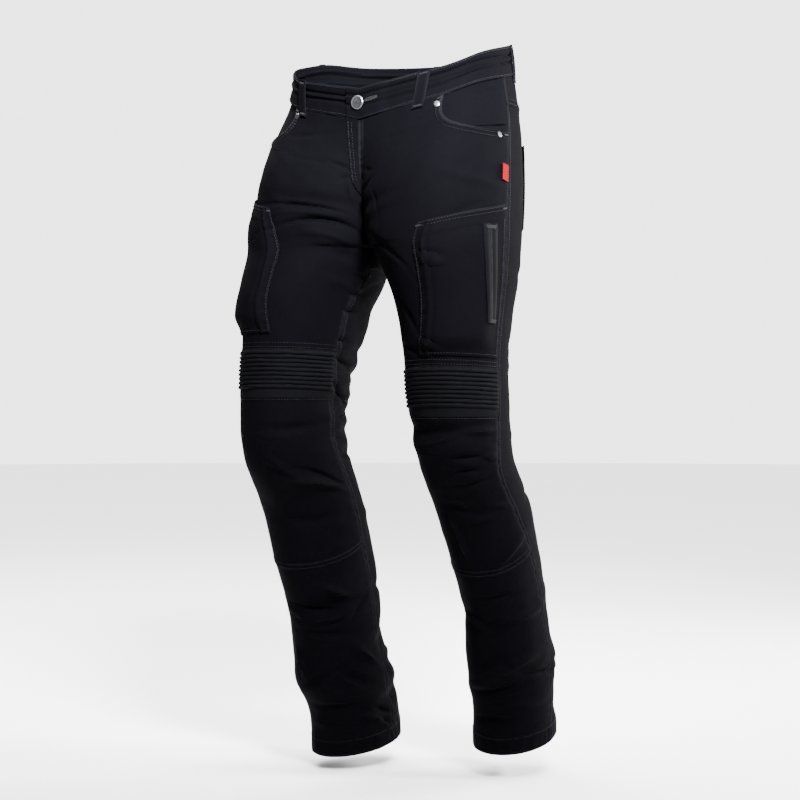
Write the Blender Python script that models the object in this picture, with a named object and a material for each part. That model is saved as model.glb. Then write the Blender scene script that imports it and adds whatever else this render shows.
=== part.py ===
"""Motorcycle trousers in black stretch denim, in the form they keep when worn.

The wearer faces -Y, the wearer's left is +X and +Z is up. The origin is the middle of the waist, level
with the top of the band at the side seams. Every panel is a patch of one form for each leg, which is
read at (turn, level): turn runs from 0 at the front centre seam and the inseam, through 0.5 at the side
seam, to 1 at the back centre seam and the inseam again, and level is the way down from the waist.
"""

import math

import bmesh
import bpy
import numpy as np
from mathutils import Vector

# Cloth, in metres.
CLOTH = 0.0018
SEAM_GAP = 0.00034
PATCH_CLOTH = 0.0014
THIN_CLOTH = 0.0012
PATCH_LIFT = 0.0007
POCKET_LIFT = 0.0009
UNDERLAP_DROP = 0.0011
LAP_GAP = 0.0009
SEAM_STEP = 0.0007  # how far a turned-up hem stands out
TURN_LENGTH = 0.60  # length of one full turn round a leg, for a gap across a seam

# Levels of the main seams below the waist.
BAND_HEIGHT = 0.044
CROTCH = 0.285
YOKE_AT_SIDE = 0.085
YOKE_AT_BACK = 0.122
HEM_BAND = 0.025
SEAMS = {
    "left": {"rib_top": 0.462, "rib_end": 0.527, "knee_end": 0.744, "hem": 1.008},
    "right": {"rib_top": 0.436, "rib_end": 0.501, "knee_end": 0.740, "hem": 1.026},
}
ROW_SPACING = 0.018
KNEE_ROWS = 13
KNEE_SEAM_ROWS = 5
KNEE_SEAM_EASE = 0.045  # how far below the knee seam the rows run level again
KNEE_SEAM_RISE = 0.020  # how much higher the curved knee seam meets the inseam and the side seam

# Depths of the centre seams, front to back.
FLY_DEPTH = -0.130
SEAT_DEPTH = 0.104
CROTCH_DEPTH = -0.060
HIP_SQUARE = 0.06  # how much fuller than an ellipse the hips are at their corners
FLY_CURVE = 3.5
SEAT_CURVE = 2.6

# How far forward of the leg's sides the inseam and the side seam lie, in degrees, down each leg.
SWING_COLUMNS = ("level", "inseam", "side")
SWING_ROWS = {
    "left": (
        (0.285, 0.0, 6.0),
        (0.330, 2.0, 11.0),
        (0.400, 2.0, 16.0),
        (0.500, 0.0, 19.0),
        (0.570, -4.0, 25.0),
        (0.620, -9.0, 32.0),
        (0.670, -14.0, 27.0),
        (0.715, -16.0, 16.0),
        (0.770, -17.0, 11.0),
        (1.020, -17.0, 11.0),
    ),
    "right": (
        (0.285, 0.0, 6.0),
        (0.330, 1.0, 11.0),
        (0.400, 1.0, 16.0),
        (0.475, -2.0, 19.0),
        (0.545, -7.0, 25.0),
        (0.600, -15.0, 32.0),
        (0.650, -16.0, 27.0),
        (0.700, -17.0, 16.0),
        (0.755, -18.0, 11.0),
        (1.035, -18.0, 11.0),
    ),
}
HIP_SWING_FROM = 0.05  # level from which the side seam begins to swing forward

# The top of the band, all round from the front centre to the back centre.
DIP_COLUMNS = ("turn", "height")
DIP_ROWS = (
    (0.00, -0.062),
    (0.10, -0.050),
    (0.22, -0.036),
    (0.37, -0.013),
    (0.50, 0.000),
    (0.63, 0.010),
    (0.80, 0.008),
    (1.00, 0.004),
)
DIP_FROM = 0.05
DIP_TO = 0.26

# Sections of half the garment: where its inner and outer sides and its front and back lie, how far it has
# forked from one tube (0) into a leg (1), how far the leg turns out, and the slope of the section's plane.
SECTION_COLUMNS = ("level", "inner", "outer", "front", "back", "fork", "turnout", "lean")
HIP_ROWS = (
    (0.000, 0.000, 0.164, -0.132, 0.116, 0.00, 0.0, 0.00),
    (0.045, 0.000, 0.169, -0.159, 0.108, 0.15, 0.0, 0.00),
    (0.100, 0.000, 0.182, -0.182, 0.099, 0.45, 0.0, 0.00),
    (0.150, 0.000, 0.191, -0.193, 0.092, 0.65, 0.0, 0.00),
    (0.200, 0.000, 0.198, -0.191, 0.082, 0.82, 0.0, 0.00),
    (0.245, 0.000, 0.202, -0.185, 0.070, 0.93, 0.0, 0.00),
    (0.285, 0.000, 0.204, -0.179, 0.059, 1.00, 0.0, 0.00),
)
LEG_ROWS = {
    "left": (
        (0.330, 0.018, 0.201, -0.173, 0.055, 1.0, 5.0, -0.04),
        (0.375, 0.032, 0.194, -0.166, 0.049, 1.0, 10.0, -0.07),
        (0.450, 0.046, 0.190, -0.158, 0.034, 1.0, 12.0, -0.05),
        (0.520, 0.052, 0.192, -0.150, 0.030, 1.0, 12.0, 0.00),
        (0.590, 0.059, 0.191, -0.132, 0.042, 1.0, 12.0, 0.05),
        (0.655, 0.059, 0.194, -0.081, 0.081, 1.0, 12.0, 0.12),
        (0.730, 0.063, 0.189, -0.041, 0.123, 1.0, 12.0, 0.18),
        (0.800, 0.065, 0.185, -0.004, 0.152, 1.0, 12.0, 0.20),
        (0.880, 0.062, 0.187, 0.015, 0.165, 1.0, 12.0, 0.20),
        (0.955, 0.063, 0.183, 0.035, 0.183, 1.0, 12.0, 0.20),
        (1.020, 0.061, 0.183, 0.036, 0.194, 1.0, 12.0, 0.20),
    ),
    "right": (
        (0.330, 0.017, 0.201, -0.190, 0.040, 1.0, 5.0, -0.04),
        (0.365, 0.030, 0.194, -0.198, 0.022, 1.0, 10.0, -0.07),
        (0.435, 0.045, 0.193, -0.197, -0.003, 1.0, 12.0, -0.05),
        (0.505, 0.055, 0.195, -0.196, -0.016, 1.0, 12.0, 0.00),
        (0.580, 0.062, 0.194, -0.187, -0.013, 1.0, 12.0, 0.05),
        (0.655, 0.062, 0.198, -0.135, 0.025, 1.0, 12.0, 0.12),
        (0.730, 0.067, 0.193, -0.105, 0.059, 1.0, 12.0, 0.18),
        (0.800, 0.068, 0.188, -0.076, 0.080, 1.0, 12.0, 0.20),
        (0.880, 0.063, 0.187, -0.061, 0.089, 1.0, 12.0, 0.20),
        (0.915, 0.062, 0.185, -0.059, 0.099, 1.0, 12.0, 0.20),
        (0.957, 0.062, 0.182, -0.029, 0.121, 1.0, 12.0, 0.20),
        (1.035, 0.060, 0.180, -0.018, 0.134, 1.0, 12.0, 0.20),
    ),
}

# The largest folds: a soft trough (height below 0) or ridge about (turn, level), its half length along the
# fold, its half width across it, its slant from level in degrees, and how much its ends hang or rise.
FOLD_COLUMNS = ("turn", "level", "length", "width", "slant", "bow", "height")
FOLD_ROWS = {
    "left": (
        (0.10, 0.225, 0.070, 0.013, -14.0, 0.5, -0.0035),
        (0.09, 0.262, 0.060, 0.012, -22.0, 0.8, -0.0030),
        (0.86, 0.300, 0.080, 0.014, 18.0, 0.0, -0.0040),
        (0.82, 0.372, 0.090, 0.016, 8.0, 0.0, -0.0030),
        (0.25, 0.549, 0.110, 0.010, 0.0, -0.6, -0.0075),
        (0.22, 0.572, 0.090, 0.013, 3.0, -0.6, 0.0040),
        (0.83, 0.480, 0.075, 0.011, 12.0, 0.0, -0.0070),
        (0.80, 0.513, 0.080, 0.011, -8.0, 0.0, -0.0080),
        (0.84, 0.545, 0.080, 0.011, 9.0, 0.0, -0.0075),
        (0.80, 0.580, 0.070, 0.012, -10.0, 0.0, -0.0060),
        (0.20, 0.815, 0.070, 0.013, 8.0, 1.0, -0.0050),
        (0.24, 0.898, 0.090, 0.013, -16.0, 0.0, 0.0065),
        (0.60, 0.893, 0.060, 0.020, -20.0, 0.0, 0.0070),
        (0.75, 0.845, 0.080, 0.014, 14.0, 0.0, -0.0050),
        (0.72, 0.945, 0.080, 0.013, -12.0, 0.0, -0.0055),
    ),
    "right": (
        (0.16, 0.215, 0.085, 0.013, -8.0, 0.6, -0.0045),
        (0.13, 0.245, 0.080, 0.013, -16.0, 0.8, -0.0040),
        (0.86, 0.300, 0.080, 0.014, 18.0, 0.0, -0.0040),
        (0.82, 0.365, 0.090, 0.016, 8.0, 0.0, -0.0030),
        (0.92, 0.438, 0.060, 0.010, 10.0, 0.0, -0.0060),
        (0.90, 0.465, 0.070, 0.010, -6.0, 0.0, -0.0065),
        (0.93, 0.492, 0.060, 0.010, 12.0, 0.0, -0.0060),
        (0.90, 0.521, 0.070, 0.011, -8.0, 0.0, -0.0065),
        (0.92, 0.552, 0.060, 0.011, 6.0, 0.0, -0.0050),
        (0.20, 0.622, 0.070, 0.014, 4.0, 0.8, 0.0050),
        (0.15, 0.775, 0.070, 0.013, 6.0, 0.9, 0.0045),
        (0.18, 0.800, 0.070, 0.011, 6.0, 0.9, -0.0045),
        (0.92, 0.860, 0.060, 0.014, 16.0, 0.0, -0.0050),
        (0.95, 0.925, 0.050, 0.015, -10.0, 0.0, 0.0075),
        (0.98, 0.958, 0.045, 0.010, 8.0, 0.0, -0.0055),
        (0.70, 0.900, 0.080, 0.014, -12.0, 0.0, -0.0050),
    ),
}

# The accordion ribs over the knee.
RIB_COUNT = 9
RIB_PITCH = 0.0061
RIB_HEIGHT = 0.0022
RIB_CREST = (0.30, 0.72)  # where a rib's flat crest begins and ends, in parts of its pitch
RIB_MARGIN = 0.003  # plain cloth above the first rib
RIB_FADE_TURN = 0.03  # the ribs are pressed flatter over this much of a turn beside a seam
RIB_SHARE_AT_SEAM = 0.25

# Front pocket mouth: a quarter round from the band down to the side seam.
MOUTH_TURN = 0.235
MOUTH_DEPTH = 0.082
MOUTH_ROWS = (0.3, 0.55, 0.75, 0.9, 0.975)  # parts of the depth at which the panel's rows meet the curve
FACING_UNDERLAP = 0.022
COIN_POCKET_TURNS = (0.285, 0.486)
COIN_POCKET_LEVELS = (0.060, 0.1145)
COIN_POCKET_INSET = 0.008
COIN_POCKET_LIFT = 0.0012
COIN_POCKET_CLOTH = 0.0011

# Cargo pocket on the thigh, with a bellows front that stands off the panel.
CARGO_TURNS = (0.287, 0.488)
CARGO_FRONT_SWEEP = -0.077  # how far forward its front edge sweeps on the way down, in turns
CARGO_TOP = {"left": 0.262, "right": 0.229}
CARGO_HEIGHT = 0.186
CARGO_TOP_RISE = 0.030  # how much higher its rear top corner lies
CARGO_BULGE = 0.009
CARGO_ZIP_TURNS = (0.425, 0.462)
CARGO_ZIP_LENGTH = 0.140
CARGO_ZIP_LIFT = 0.0006

# Back pocket, with a pointed bottom edge.
BACK_POCKET_TURNS = (0.605, 0.860)
BACK_POCKET_TOP = 0.142
BACK_POCKET_HEIGHT = 0.135
BACK_POCKET_POINT = 0.018
BACK_POCKET_TAPER = 0.10

# Small pieces.
FLY_START_TURN = 0.007
FLY_WIDTH_TURN = 0.038
FLY_END = 0.205
FLY_END_SLANT = 0.030
TAB_LAP_TURN = 0.036
TAB_UNDERLAP_TURN = 0.022
LOOP_WIDTH = 0.013
LOOP_TAIL = 0.010
LOOP_CLOTH = 0.0016
LOOP_LEVELS = (0.0, 0.011, 0.022, 0.033, BAND_HEIGHT, BAND_HEIGHT + LOOP_TAIL)
LOOP_LIFTS = (0.0010, 0.0024, 0.0030, 0.0026, 0.0016, 0.0008)
WAIST_TURN_LENGTH = 0.50  # length of one full turn at the waist, for the loops' width
BUTTON_RADIUS = 0.010
RIVET_RADIUS = 0.0045
RIVET_LIFT = 0.0009
LABEL_LEVELS = (0.176, 0.200)
LABEL_TURNS = (0.474, 0.4965)
LABEL_LEAN = 0.12

# Where each belt loop stands, as a place round the whole waist: 0 is the back centre, 1 the left front.
LOOPS = {
    "belt_loop_left_front": 0.845,
    "belt_loop_left_back": 0.400,
    "belt_loop_centre_back": 0.000,
    "belt_loop_right_back": -0.400,
    "belt_loop_right_front": -0.805,
}

# Colours as seen, with roughness and metal.
FINISHES = {
    "denim": ((0.014, 0.013, 0.016, 1.0), 0.85, 0.0),
    "stretch_rib": ((0.011, 0.011, 0.013, 1.0), 0.80, 0.0),
    "zip_tape": ((0.010, 0.010, 0.011, 1.0), 0.70, 0.0),
    "nickel": ((0.60, 0.60, 0.62, 1.0), 0.30, 1.0),
    "red_label": ((0.56, 0.02, 0.03, 1.0), 0.75, 0.0),
}


def eased(rows, columns, name, at):
    """Value of one named table column at each place, eased from row to row."""
    knots = np.array([row[0] for row in rows])
    values = np.array([row[columns.index(name)] for row in rows])
    slopes = np.gradient(values, knots)
    first = np.clip(np.searchsorted(knots, at, side="right") - 1, 0, len(knots) - 2)
    run = knots[first + 1] - knots[first]
    part = (at - knots[first]) / run
    return (
        (2 * part**3 - 3 * part**2 + 1) * values[first]
        + (part**3 - 2 * part**2 + part) * run * slopes[first]
        + (3 * part**2 - 2 * part**3) * values[first + 1]
        + (part**3 - part**2) * run * slopes[first + 1]
    )


def ramp(value, start, end):
    """0 up to start, 1 from end on, and a soft step between."""
    part = np.clip((value - start) / (end - start), 0.0, 1.0)
    return part * part * (3 - 2 * part)


def smooth_form(side, turn, level):
    """Points of the outer face without its folds."""
    rows = HIP_ROWS + LEG_ROWS[side]
    inner, outer, front, back, fork, turnout, lean = (
        eased(rows, SECTION_COLUMNS, name, level) for name in SECTION_COLUMNS[1:]
    )
    leg = level > CROTCH
    inner = np.where(leg, np.maximum(inner, 0.0), 0.0)
    turnout = np.where(leg, np.radians(turnout), 0.0)
    lean = np.where(leg, lean, 0.0)
    fork = np.where(leg, 1.0, np.clip(fork, 0.0, 1.0))
    middle = (front + back) / 2
    half_depth = (back - front) / 2
    half_width = (outer - inner) / 2

    down = np.clip(level / CROTCH, 0.0, 1.0)
    fly = CROTCH_DEPTH + (FLY_DEPTH - CROTCH_DEPTH) * (1 - down**FLY_CURVE) ** (1 / FLY_CURVE)
    seat = CROTCH_DEPTH + (SEAT_DEPTH - CROTCH_DEPTH) * (1 - down**SEAT_CURVE) ** (1 / SEAT_CURVE)

    down_leg = np.maximum(level, CROTCH)
    inseam = np.radians(eased(SWING_ROWS[side], SWING_COLUMNS, "inseam", down_leg))
    side_seam = np.radians(eased(SWING_ROWS[side], SWING_COLUMNS, "side", down_leg))
    side_seam = side_seam * ramp(level, HIP_SWING_FROM, CROTCH)
    round_front = inseam + 2 * turn * (math.pi - side_seam - inseam)
    round_back = math.pi - side_seam + (2 * turn - 1) * (math.pi + side_seam + inseam)
    angle = np.where(turn < 0.5, round_front, round_back)
    forward = np.sin(angle)
    fly_part = np.where(leg, 0.0, (middle - fly) / half_depth)
    seat_part = np.where(leg, 0.0, (seat - middle) / half_depth)
    forward = np.where(
        angle < math.pi / 2,
        fly_part + (1 - fly_part) * forward,
        np.where(angle > 1.5 * math.pi, -seat_part + (1 - seat_part) * forward, forward),
    )
    leg_x = -half_width * np.cos(angle)
    leg_y = -half_depth * forward
    x_leg = (inner + outer) / 2 + leg_x * np.cos(turnout) - leg_y * np.sin(turnout)
    y_leg = middle + leg_x * np.sin(turnout) + leg_y * np.cos(turnout)
    x_hip = outer * (np.sin(math.pi * turn) + HIP_SQUARE * np.sin(3 * math.pi * turn)) / (1 - HIP_SQUARE)
    y_hip = (fly + seat) / 2 - (seat - fly) / 2 * np.cos(math.pi * turn)
    x = (1 - fork) * x_hip + fork * x_leg + SEAM_GAP / 2
    y = (1 - fork) * y_hip + fork * y_leg

    dip = eased(DIP_ROWS, DIP_COLUMNS, "height", np.clip(turn, 0.0, 1.0))
    z = -level + dip * (1 - ramp(level, DIP_FROM, DIP_TO)) + lean * (y - middle)
    return np.stack([x, y, z], axis=-1)


def normals_of(form, side, turn, level):
    """Unit normals of a form, pointing out of the cloth."""
    step = 0.002
    across = form(side, turn + step, level) - form(side, turn - step, level)
    down = form(side, turn, level + step) - form(side, turn, level - step)
    normal = np.cross(down, across)
    return normal / np.linalg.norm(normal, axis=-1, keepdims=True)


def fold_height(side, turn, level):
    """How far the folds stand out of the smooth form, or below it."""
    height = np.zeros_like(turn)
    for row in FOLD_ROWS[side]:
        fold = dict(zip(FOLD_COLUMNS, row))
        away = (turn - fold["turn"] + 0.5) % 1.0 - 0.5
        away = np.where(level > CROTCH, away, turn - fold["turn"]) * TURN_LENGTH
        below = level - fold["level"]
        slant = math.radians(fold["slant"])
        along = away * math.cos(slant) + below * math.sin(slant)
        across = -away * math.sin(slant) + below * math.cos(slant) - fold["bow"] * along**2
        height += fold["height"] * np.exp(-((along / fold["length"]) ** 2) - (across / fold["width"]) ** 2)
    centre = np.minimum(np.abs(turn), np.abs(1 - turn))
    calm = np.where(level > CROTCH + 0.03, 1.0, ramp(centre, 0.0, 0.06))
    return height * calm


def folded_form(side, turn, level):
    """Points of the outer face with its folds."""
    height = fold_height(side, turn, level)[..., None]
    return smooth_form(side, turn, level) + normals_of(smooth_form, side, turn, level) * height


def cloth_points(side, turn, level, lift):
    """Points moved out of the folded face by a lift, on the wearer's left or right."""
    points = folded_form(side, turn, level)
    points = points + normals_of(folded_form, side, turn, level) * np.asarray(lift)[..., None]
    if side == "right":
        points = points * (-1, 1, 1)
    return points


def material(name):
    """The material of one finish, made once."""
    found = bpy.data.materials.get(name)
    if found:
        return found
    made = bpy.data.materials.new(name)
    made.use_nodes = True
    shader = made.node_tree.nodes["Principled BSDF"]
    colour, roughness, metallic = FINISHES[name]
    shader.inputs["Base Color"].default_value = colour
    shader.inputs["Roughness"].default_value = roughness
    shader.inputs["Metallic"].default_value = metallic
    return made


def add_object(name, mesh, finish):
    """An object of a finished mesh, in its finish."""
    mesh.materials.append(material(finish))
    made = bpy.data.objects.new(name, mesh)
    bpy.context.collection.objects.link(made)
    return made


def add_wall(name, outside, inside, finish):
    """A wall between two grids of points, rows down and columns across, closed round its edges."""
    rows, columns = outside.shape[:2]
    mesh = bpy.data.meshes.new(name)
    shell = bmesh.new()
    sheets = [
        [[shell.verts.new(point) for point in row] for row in grid.tolist()]
        for grid in (outside, inside)
    ]
    for sheet, flip in zip(sheets, (False, True)):
        for r in range(rows - 1):
            for c in range(columns - 1):
                corners = [sheet[r][c], sheet[r + 1][c], sheet[r + 1][c + 1], sheet[r][c + 1]]
                shell.faces.new(corners[::-1] if flip else corners)
    rim = [(0, c) for c in range(columns)]
    rim += [(r, columns - 1) for r in range(1, rows)]
    rim += [(rows - 1, c) for c in range(columns - 2, -1, -1)]
    rim += [(r, 0) for r in range(rows - 2, 0, -1)]
    for (r, c), (next_r, next_c) in zip(rim, rim[1:] + rim[:1]):
        corners = [sheets[0][r][c], sheets[0][next_r][next_c], sheets[1][next_r][next_c], sheets[1][r][c]]
        shell.faces.new(corners)
    bmesh.ops.recalc_face_normals(shell, faces=shell.faces)
    bmesh.ops.triangulate(shell, faces=shell.faces)
    shell.to_mesh(mesh)
    shell.free()
    mesh.shade_smooth()
    mesh.set_sharp_from_angle(angle=math.radians(35))
    return add_object(name, mesh, finish)


def add_panel(name, side, turn, level, finish="denim", drop=0.0, relief=0.0, cloth=CLOTH):
    """A panel of the form: its outer face lies at -drop, with a relief on it alone."""
    outside = cloth_points(side, turn, level, np.zeros_like(turn) - drop + relief)
    inside = cloth_points(side, turn, level, np.zeros_like(turn) - drop - cloth)
    return add_wall(name, outside, inside, finish)


def add_patch(name, side, turn, level, lift, finish="denim", cloth=PATCH_CLOTH):
    """A piece that lies on a panel, a lift away from it."""
    inside = cloth_points(side, turn, level, np.zeros_like(turn) + lift)
    outside = cloth_points(side, turn, level, np.zeros_like(turn) + lift + cloth)
    return add_wall(name, outside, inside, finish)


def seam_turns(start, end, count):
    """Turns across a panel, drawn in from its two seams by half the gap."""
    inset = SEAM_GAP / 2 / TURN_LENGTH
    return np.linspace(start + inset, end - inset, count)


def knee_seam(side, turn):
    """Level of the curved seam under the knee panel."""
    return SEAMS[side]["knee_end"] - KNEE_SEAM_RISE * (np.abs(turn - 0.24) / 0.25) ** 2.5


def thigh_levels(side):
    """Levels from the end of the pocket mouth to the knee ribs, closer together at the crotch."""
    stops = (BAND_HEIGHT + MOUTH_DEPTH, CROTCH - 0.020, CROTCH - 0.006, CROTCH, SEAMS[side]["rib_top"])
    return spaced(stops, ROW_SPACING)


def shin_levels(side, seam):
    """Levels from the knee seam to the hem; the hem band's upper edge is a small step."""
    seams = SEAMS[side]
    stops = (seam, seams["knee_end"] + KNEE_SEAM_EASE, seams["hem"] - HEM_BAND)
    body = np.linspace(stops[0], stops[1], KNEE_SEAM_ROWS)
    body = np.concatenate([body, spaced(stops[1:], ROW_SPACING)[1:]])
    band = seams["hem"] - HEM_BAND * np.array([0.985, 0.5, 0.0])
    return np.concatenate([body, band])


def spaced(stops, spacing):
    """Levels from the first stop to the last, through each, about one spacing apart."""
    levels = [stops[0]]
    for start, end in zip(stops, stops[1:]):
        count = max(1, round((end - start) / spacing))
        levels += list(np.linspace(start, end, count + 1)[1:])
    return np.array(levels)


def drawn_in(levels):
    """The same levels with the first and the last drawn in from their seams."""
    levels = levels.copy()
    levels[0] += SEAM_GAP / 2
    levels[-1] -= SEAM_GAP / 2
    return levels


def hem_relief(level, hem):
    """The turned-up hem stands out by part of its cloth."""
    return np.where(level > hem - HEM_BAND, SEAM_STEP, 0.0)


def mouth_end(level):
    """The turn at which the front panel ends: the pocket mouth's curve, and the side seam below it."""
    down = np.clip((level - BAND_HEIGHT) / MOUTH_DEPTH, 0.0, 1.0)
    return 0.5 - (0.5 - MOUTH_TURN) * np.sqrt(1 - down**2)


def front_panel(side):
    """The upper front of a leg, from the band to the knee ribs, cut away at the pocket mouth."""
    curve = BAND_HEIGHT + MOUTH_DEPTH * np.array(MOUTH_ROWS)
    below = thigh_levels(side)
    levels = drawn_in(np.concatenate([[BAND_HEIGHT], curve, below]))
    share = np.linspace(0.0, 1.0, 13)
    inset = SEAM_GAP / 2 / TURN_LENGTH
    ends = mouth_end(levels)[:, None] - inset
    turn = inset + share[None, :] * (ends - inset)
    level = np.repeat(levels[:, None], len(share), axis=1)
    return add_panel(f"front_panel_{side}", side, turn, level)


def hip_facing(side):
    """The cloth that shows inside the pocket mouth, tucked a little way behind the front panel."""
    levels = BAND_HEIGHT + SEAM_GAP + MOUTH_DEPTH * np.array((0.0, *MOUTH_ROWS, 1.0, 1.12))
    starts = np.minimum(mouth_end(levels), 0.470) - FACING_UNDERLAP
    share = np.linspace(0.0, 1.0, 9)
    end = 0.5 - SEAM_GAP / TURN_LENGTH
    turn = starts[:, None] + share[None, :] * (end - starts[:, None])
    level = np.repeat(levels[:, None], len(share), axis=1)
    drop = CLOTH + UNDERLAP_DROP
    return add_panel(f"hip_facing_{side}", side, turn, level, drop=drop, cloth=THIN_CLOTH)


def coin_pocket():
    """The small pocket on the left hip facing, from a little under the band to the mouth."""
    levels = np.linspace(*COIN_POCKET_LEVELS, 5)
    starts = np.maximum(mouth_end(levels) + COIN_POCKET_INSET, COIN_POCKET_TURNS[0])
    share = np.linspace(0.0, 1.0, 7)
    turn = starts[:, None] + share[None, :] * (COIN_POCKET_TURNS[1] - starts[:, None])
    level = np.repeat(levels[:, None], len(share), axis=1)
    lift = -(CLOTH + UNDERLAP_DROP) + COIN_POCKET_LIFT
    return add_patch("coin_pocket", "left", turn, level, lift, cloth=COIN_POCKET_CLOTH)


def fly_lap():
    """The stitched strip beside the front centre seam, on the wearer's right, with a slanted end."""
    turns = np.linspace(FLY_START_TURN, FLY_WIDTH_TURN, 4)
    down = np.linspace(0.0, 1.0, 11)
    ends = FLY_END - FLY_END_SLANT * (turns / FLY_WIDTH_TURN) ** 2
    top = BAND_HEIGHT + SEAM_GAP
    level = top + down[:, None] * (ends[None, :] - top)
    turn = np.repeat(turns[None, :], len(down), axis=0)
    return add_patch("fly_lap", "right", turn, level, PATCH_LIFT)


def knee_rib(side):
    """The accordion stretch panel above the knee, ribs raised on its outer face."""
    top = SEAMS[side]["rib_top"] + SEAM_GAP / 2
    end = SEAMS[side]["rib_end"] - SEAM_GAP / 2
    levels = [top]
    heights = [0.0]
    first = top + RIB_MARGIN
    for rib in range(RIB_COUNT):
        start = first + rib * RIB_PITCH
        levels += [start, start + RIB_PITCH * RIB_CREST[0], start + RIB_PITCH * RIB_CREST[1]]
        heights += [0.0, RIB_HEIGHT, RIB_HEIGHT]
    levels += [first + RIB_COUNT * RIB_PITCH, end]
    heights += [0.0, 0.0]
    turns = seam_turns(0.0, 0.5, 10)
    turn = np.repeat(turns[None, :], len(levels), axis=0)
    level = np.repeat(np.array(levels)[:, None], len(turns), axis=1)
    fade = ramp(turns, 0.0, RIB_FADE_TURN) * ramp(0.5 - turns, 0.0, RIB_FADE_TURN)
    flattened = RIB_SHARE_AT_SEAM + (1 - RIB_SHARE_AT_SEAM) * fade
    relief = np.array(heights)[:, None] * flattened[None, :]
    return add_panel(f"knee_rib_{side}", side, turn, level, "stretch_rib", relief=relief)


def knee_panel(side):
    """The protector panel over the knee, from the ribs to the curved seam."""
    turns = seam_turns(0.0, 0.5, 11)
    down = np.linspace(0.0, 1.0, KNEE_ROWS)
    top = SEAMS[side]["rib_end"] + SEAM_GAP / 2
    ends = knee_seam(side, turns) - SEAM_GAP / 2
    level = top + down[:, None] * (ends[None, :] - top)
    turn = np.repeat(turns[None, :], len(down), axis=0)
    return add_panel(f"knee_panel_{side}", side, turn, level)


def shin_panel(side):
    """The lower front of a leg, from the curved knee seam to the hem."""
    turns = seam_turns(0.0, 0.5, 11)
    starts = knee_seam(side, turns) + SEAM_GAP / 2
    level = np.stack([shin_levels(side, start) for start in starts], axis=1)
    turn = np.repeat(turns[None, :], len(level), axis=0)
    relief = hem_relief(level, SEAMS[side]["hem"])
    return add_panel(f"shin_panel_{side}", side, turn, level, relief=relief)


def yoke_seam(turn):
    """Level of the seam between the yoke and the back panel, deepest at the back centre."""
    return YOKE_AT_SIDE + (YOKE_AT_BACK - YOKE_AT_SIDE) * (turn - 0.5) / 0.5


def yoke(side):
    """The shaped piece between the band and the back panel."""
    turns = seam_turns(0.5, 1.0, 11)
    down = np.linspace(0.0, 1.0, 4)
    top = BAND_HEIGHT + SEAM_GAP / 2
    ends = yoke_seam(turns) - SEAM_GAP / 2
    level = top + down[:, None] * (ends[None, :] - top)
    turn = np.repeat(turns[None, :], len(down), axis=0)
    return add_panel(f"yoke_{side}", side, turn, level)


def back_panel(side):
    """The back of a leg, from the yoke to the hem."""
    turns = seam_turns(0.5, 1.0, 11)
    knee_side = knee_seam(side, 0.5)
    seat = spaced((YOKE_AT_SIDE, BAND_HEIGHT + MOUTH_DEPTH), ROW_SPACING)[:-1]
    knee = np.linspace(SEAMS[side]["rib_end"], knee_side, KNEE_ROWS)[1:-1]
    ribs = spaced((SEAMS[side]["rib_top"], SEAMS[side]["rib_end"]), 0.013)[1:]
    levels = np.concatenate([seat, thigh_levels(side), ribs, knee, shin_levels(side, knee_side)])
    starts = yoke_seam(turns) + SEAM_GAP / 2 - YOKE_AT_SIDE
    fade = 1 - ramp(levels, levels[0], 0.200)
    level = levels[:, None] + starts[None, :] * fade[:, None]
    turn = np.repeat(turns[None, :], len(levels), axis=0)
    relief = hem_relief(level, SEAMS[side]["hem"])
    return add_panel(f"back_panel_{side}", side, turn, level, relief=relief)


def back_pocket(side):
    """A patch pocket on the seat, its bottom edge pointed."""
    turns = np.linspace(*BACK_POCKET_TURNS, 8)
    down = np.linspace(0.0, 1.0, 8)
    middle = sum(BACK_POCKET_TURNS) / 2
    half = (BACK_POCKET_TURNS[1] - BACK_POCKET_TURNS[0]) / 2
    ends = BACK_POCKET_TOP + BACK_POCKET_HEIGHT - BACK_POCKET_POINT * np.abs(turns - middle) / half
    level = BACK_POCKET_TOP + down[:, None] * (ends[None, :] - BACK_POCKET_TOP)
    narrow = 1 - BACK_POCKET_TAPER * down[:, None]
    turn = middle + (turns[None, :] - middle) * narrow
    return add_patch(f"back_pocket_{side}", side, turn, level, POCKET_LIFT)


def cargo_lift(side, turn, level):
    """How far the cargo pocket's cloth stands off the panel: close at its edges, full in between."""
    down = (level - CARGO_TOP[side]) / CARGO_HEIGHT
    start = CARGO_TURNS[0] + CARGO_FRONT_SWEEP * np.clip(down, 0.0, 1.0)
    across = (turn - start) / (CARGO_TURNS[1] - start)
    full = ramp(across, 0.0, 0.16) * ramp(1 - across, 0.0, 0.30) * ramp(down, -0.1, 0.25)
    full = full * ramp(1 - down, 0.0, 0.14)
    uneven = 0.75 + 0.25 * np.sin(7 * down + 3 * across)
    return POCKET_LIFT + CARGO_BULGE * full * uneven


def cargo_pocket(side):
    """The bellows pocket on the front of the thigh, its top edge rising to the rear."""
    across = np.linspace(0.0, 1.0, 10)[None, :]
    down = np.linspace(0.0, 1.0, 13)[:, None]
    starts = CARGO_TURNS[0] + CARGO_FRONT_SWEEP * down
    turn = starts + across * (CARGO_TURNS[1] - starts)
    tops = CARGO_TOP[side] - CARGO_TOP_RISE * across
    level = tops + down * (CARGO_TOP[side] + CARGO_HEIGHT - tops)
    return add_patch(f"cargo_pocket_{side}", side, turn, level, cargo_lift(side, turn, level))


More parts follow.
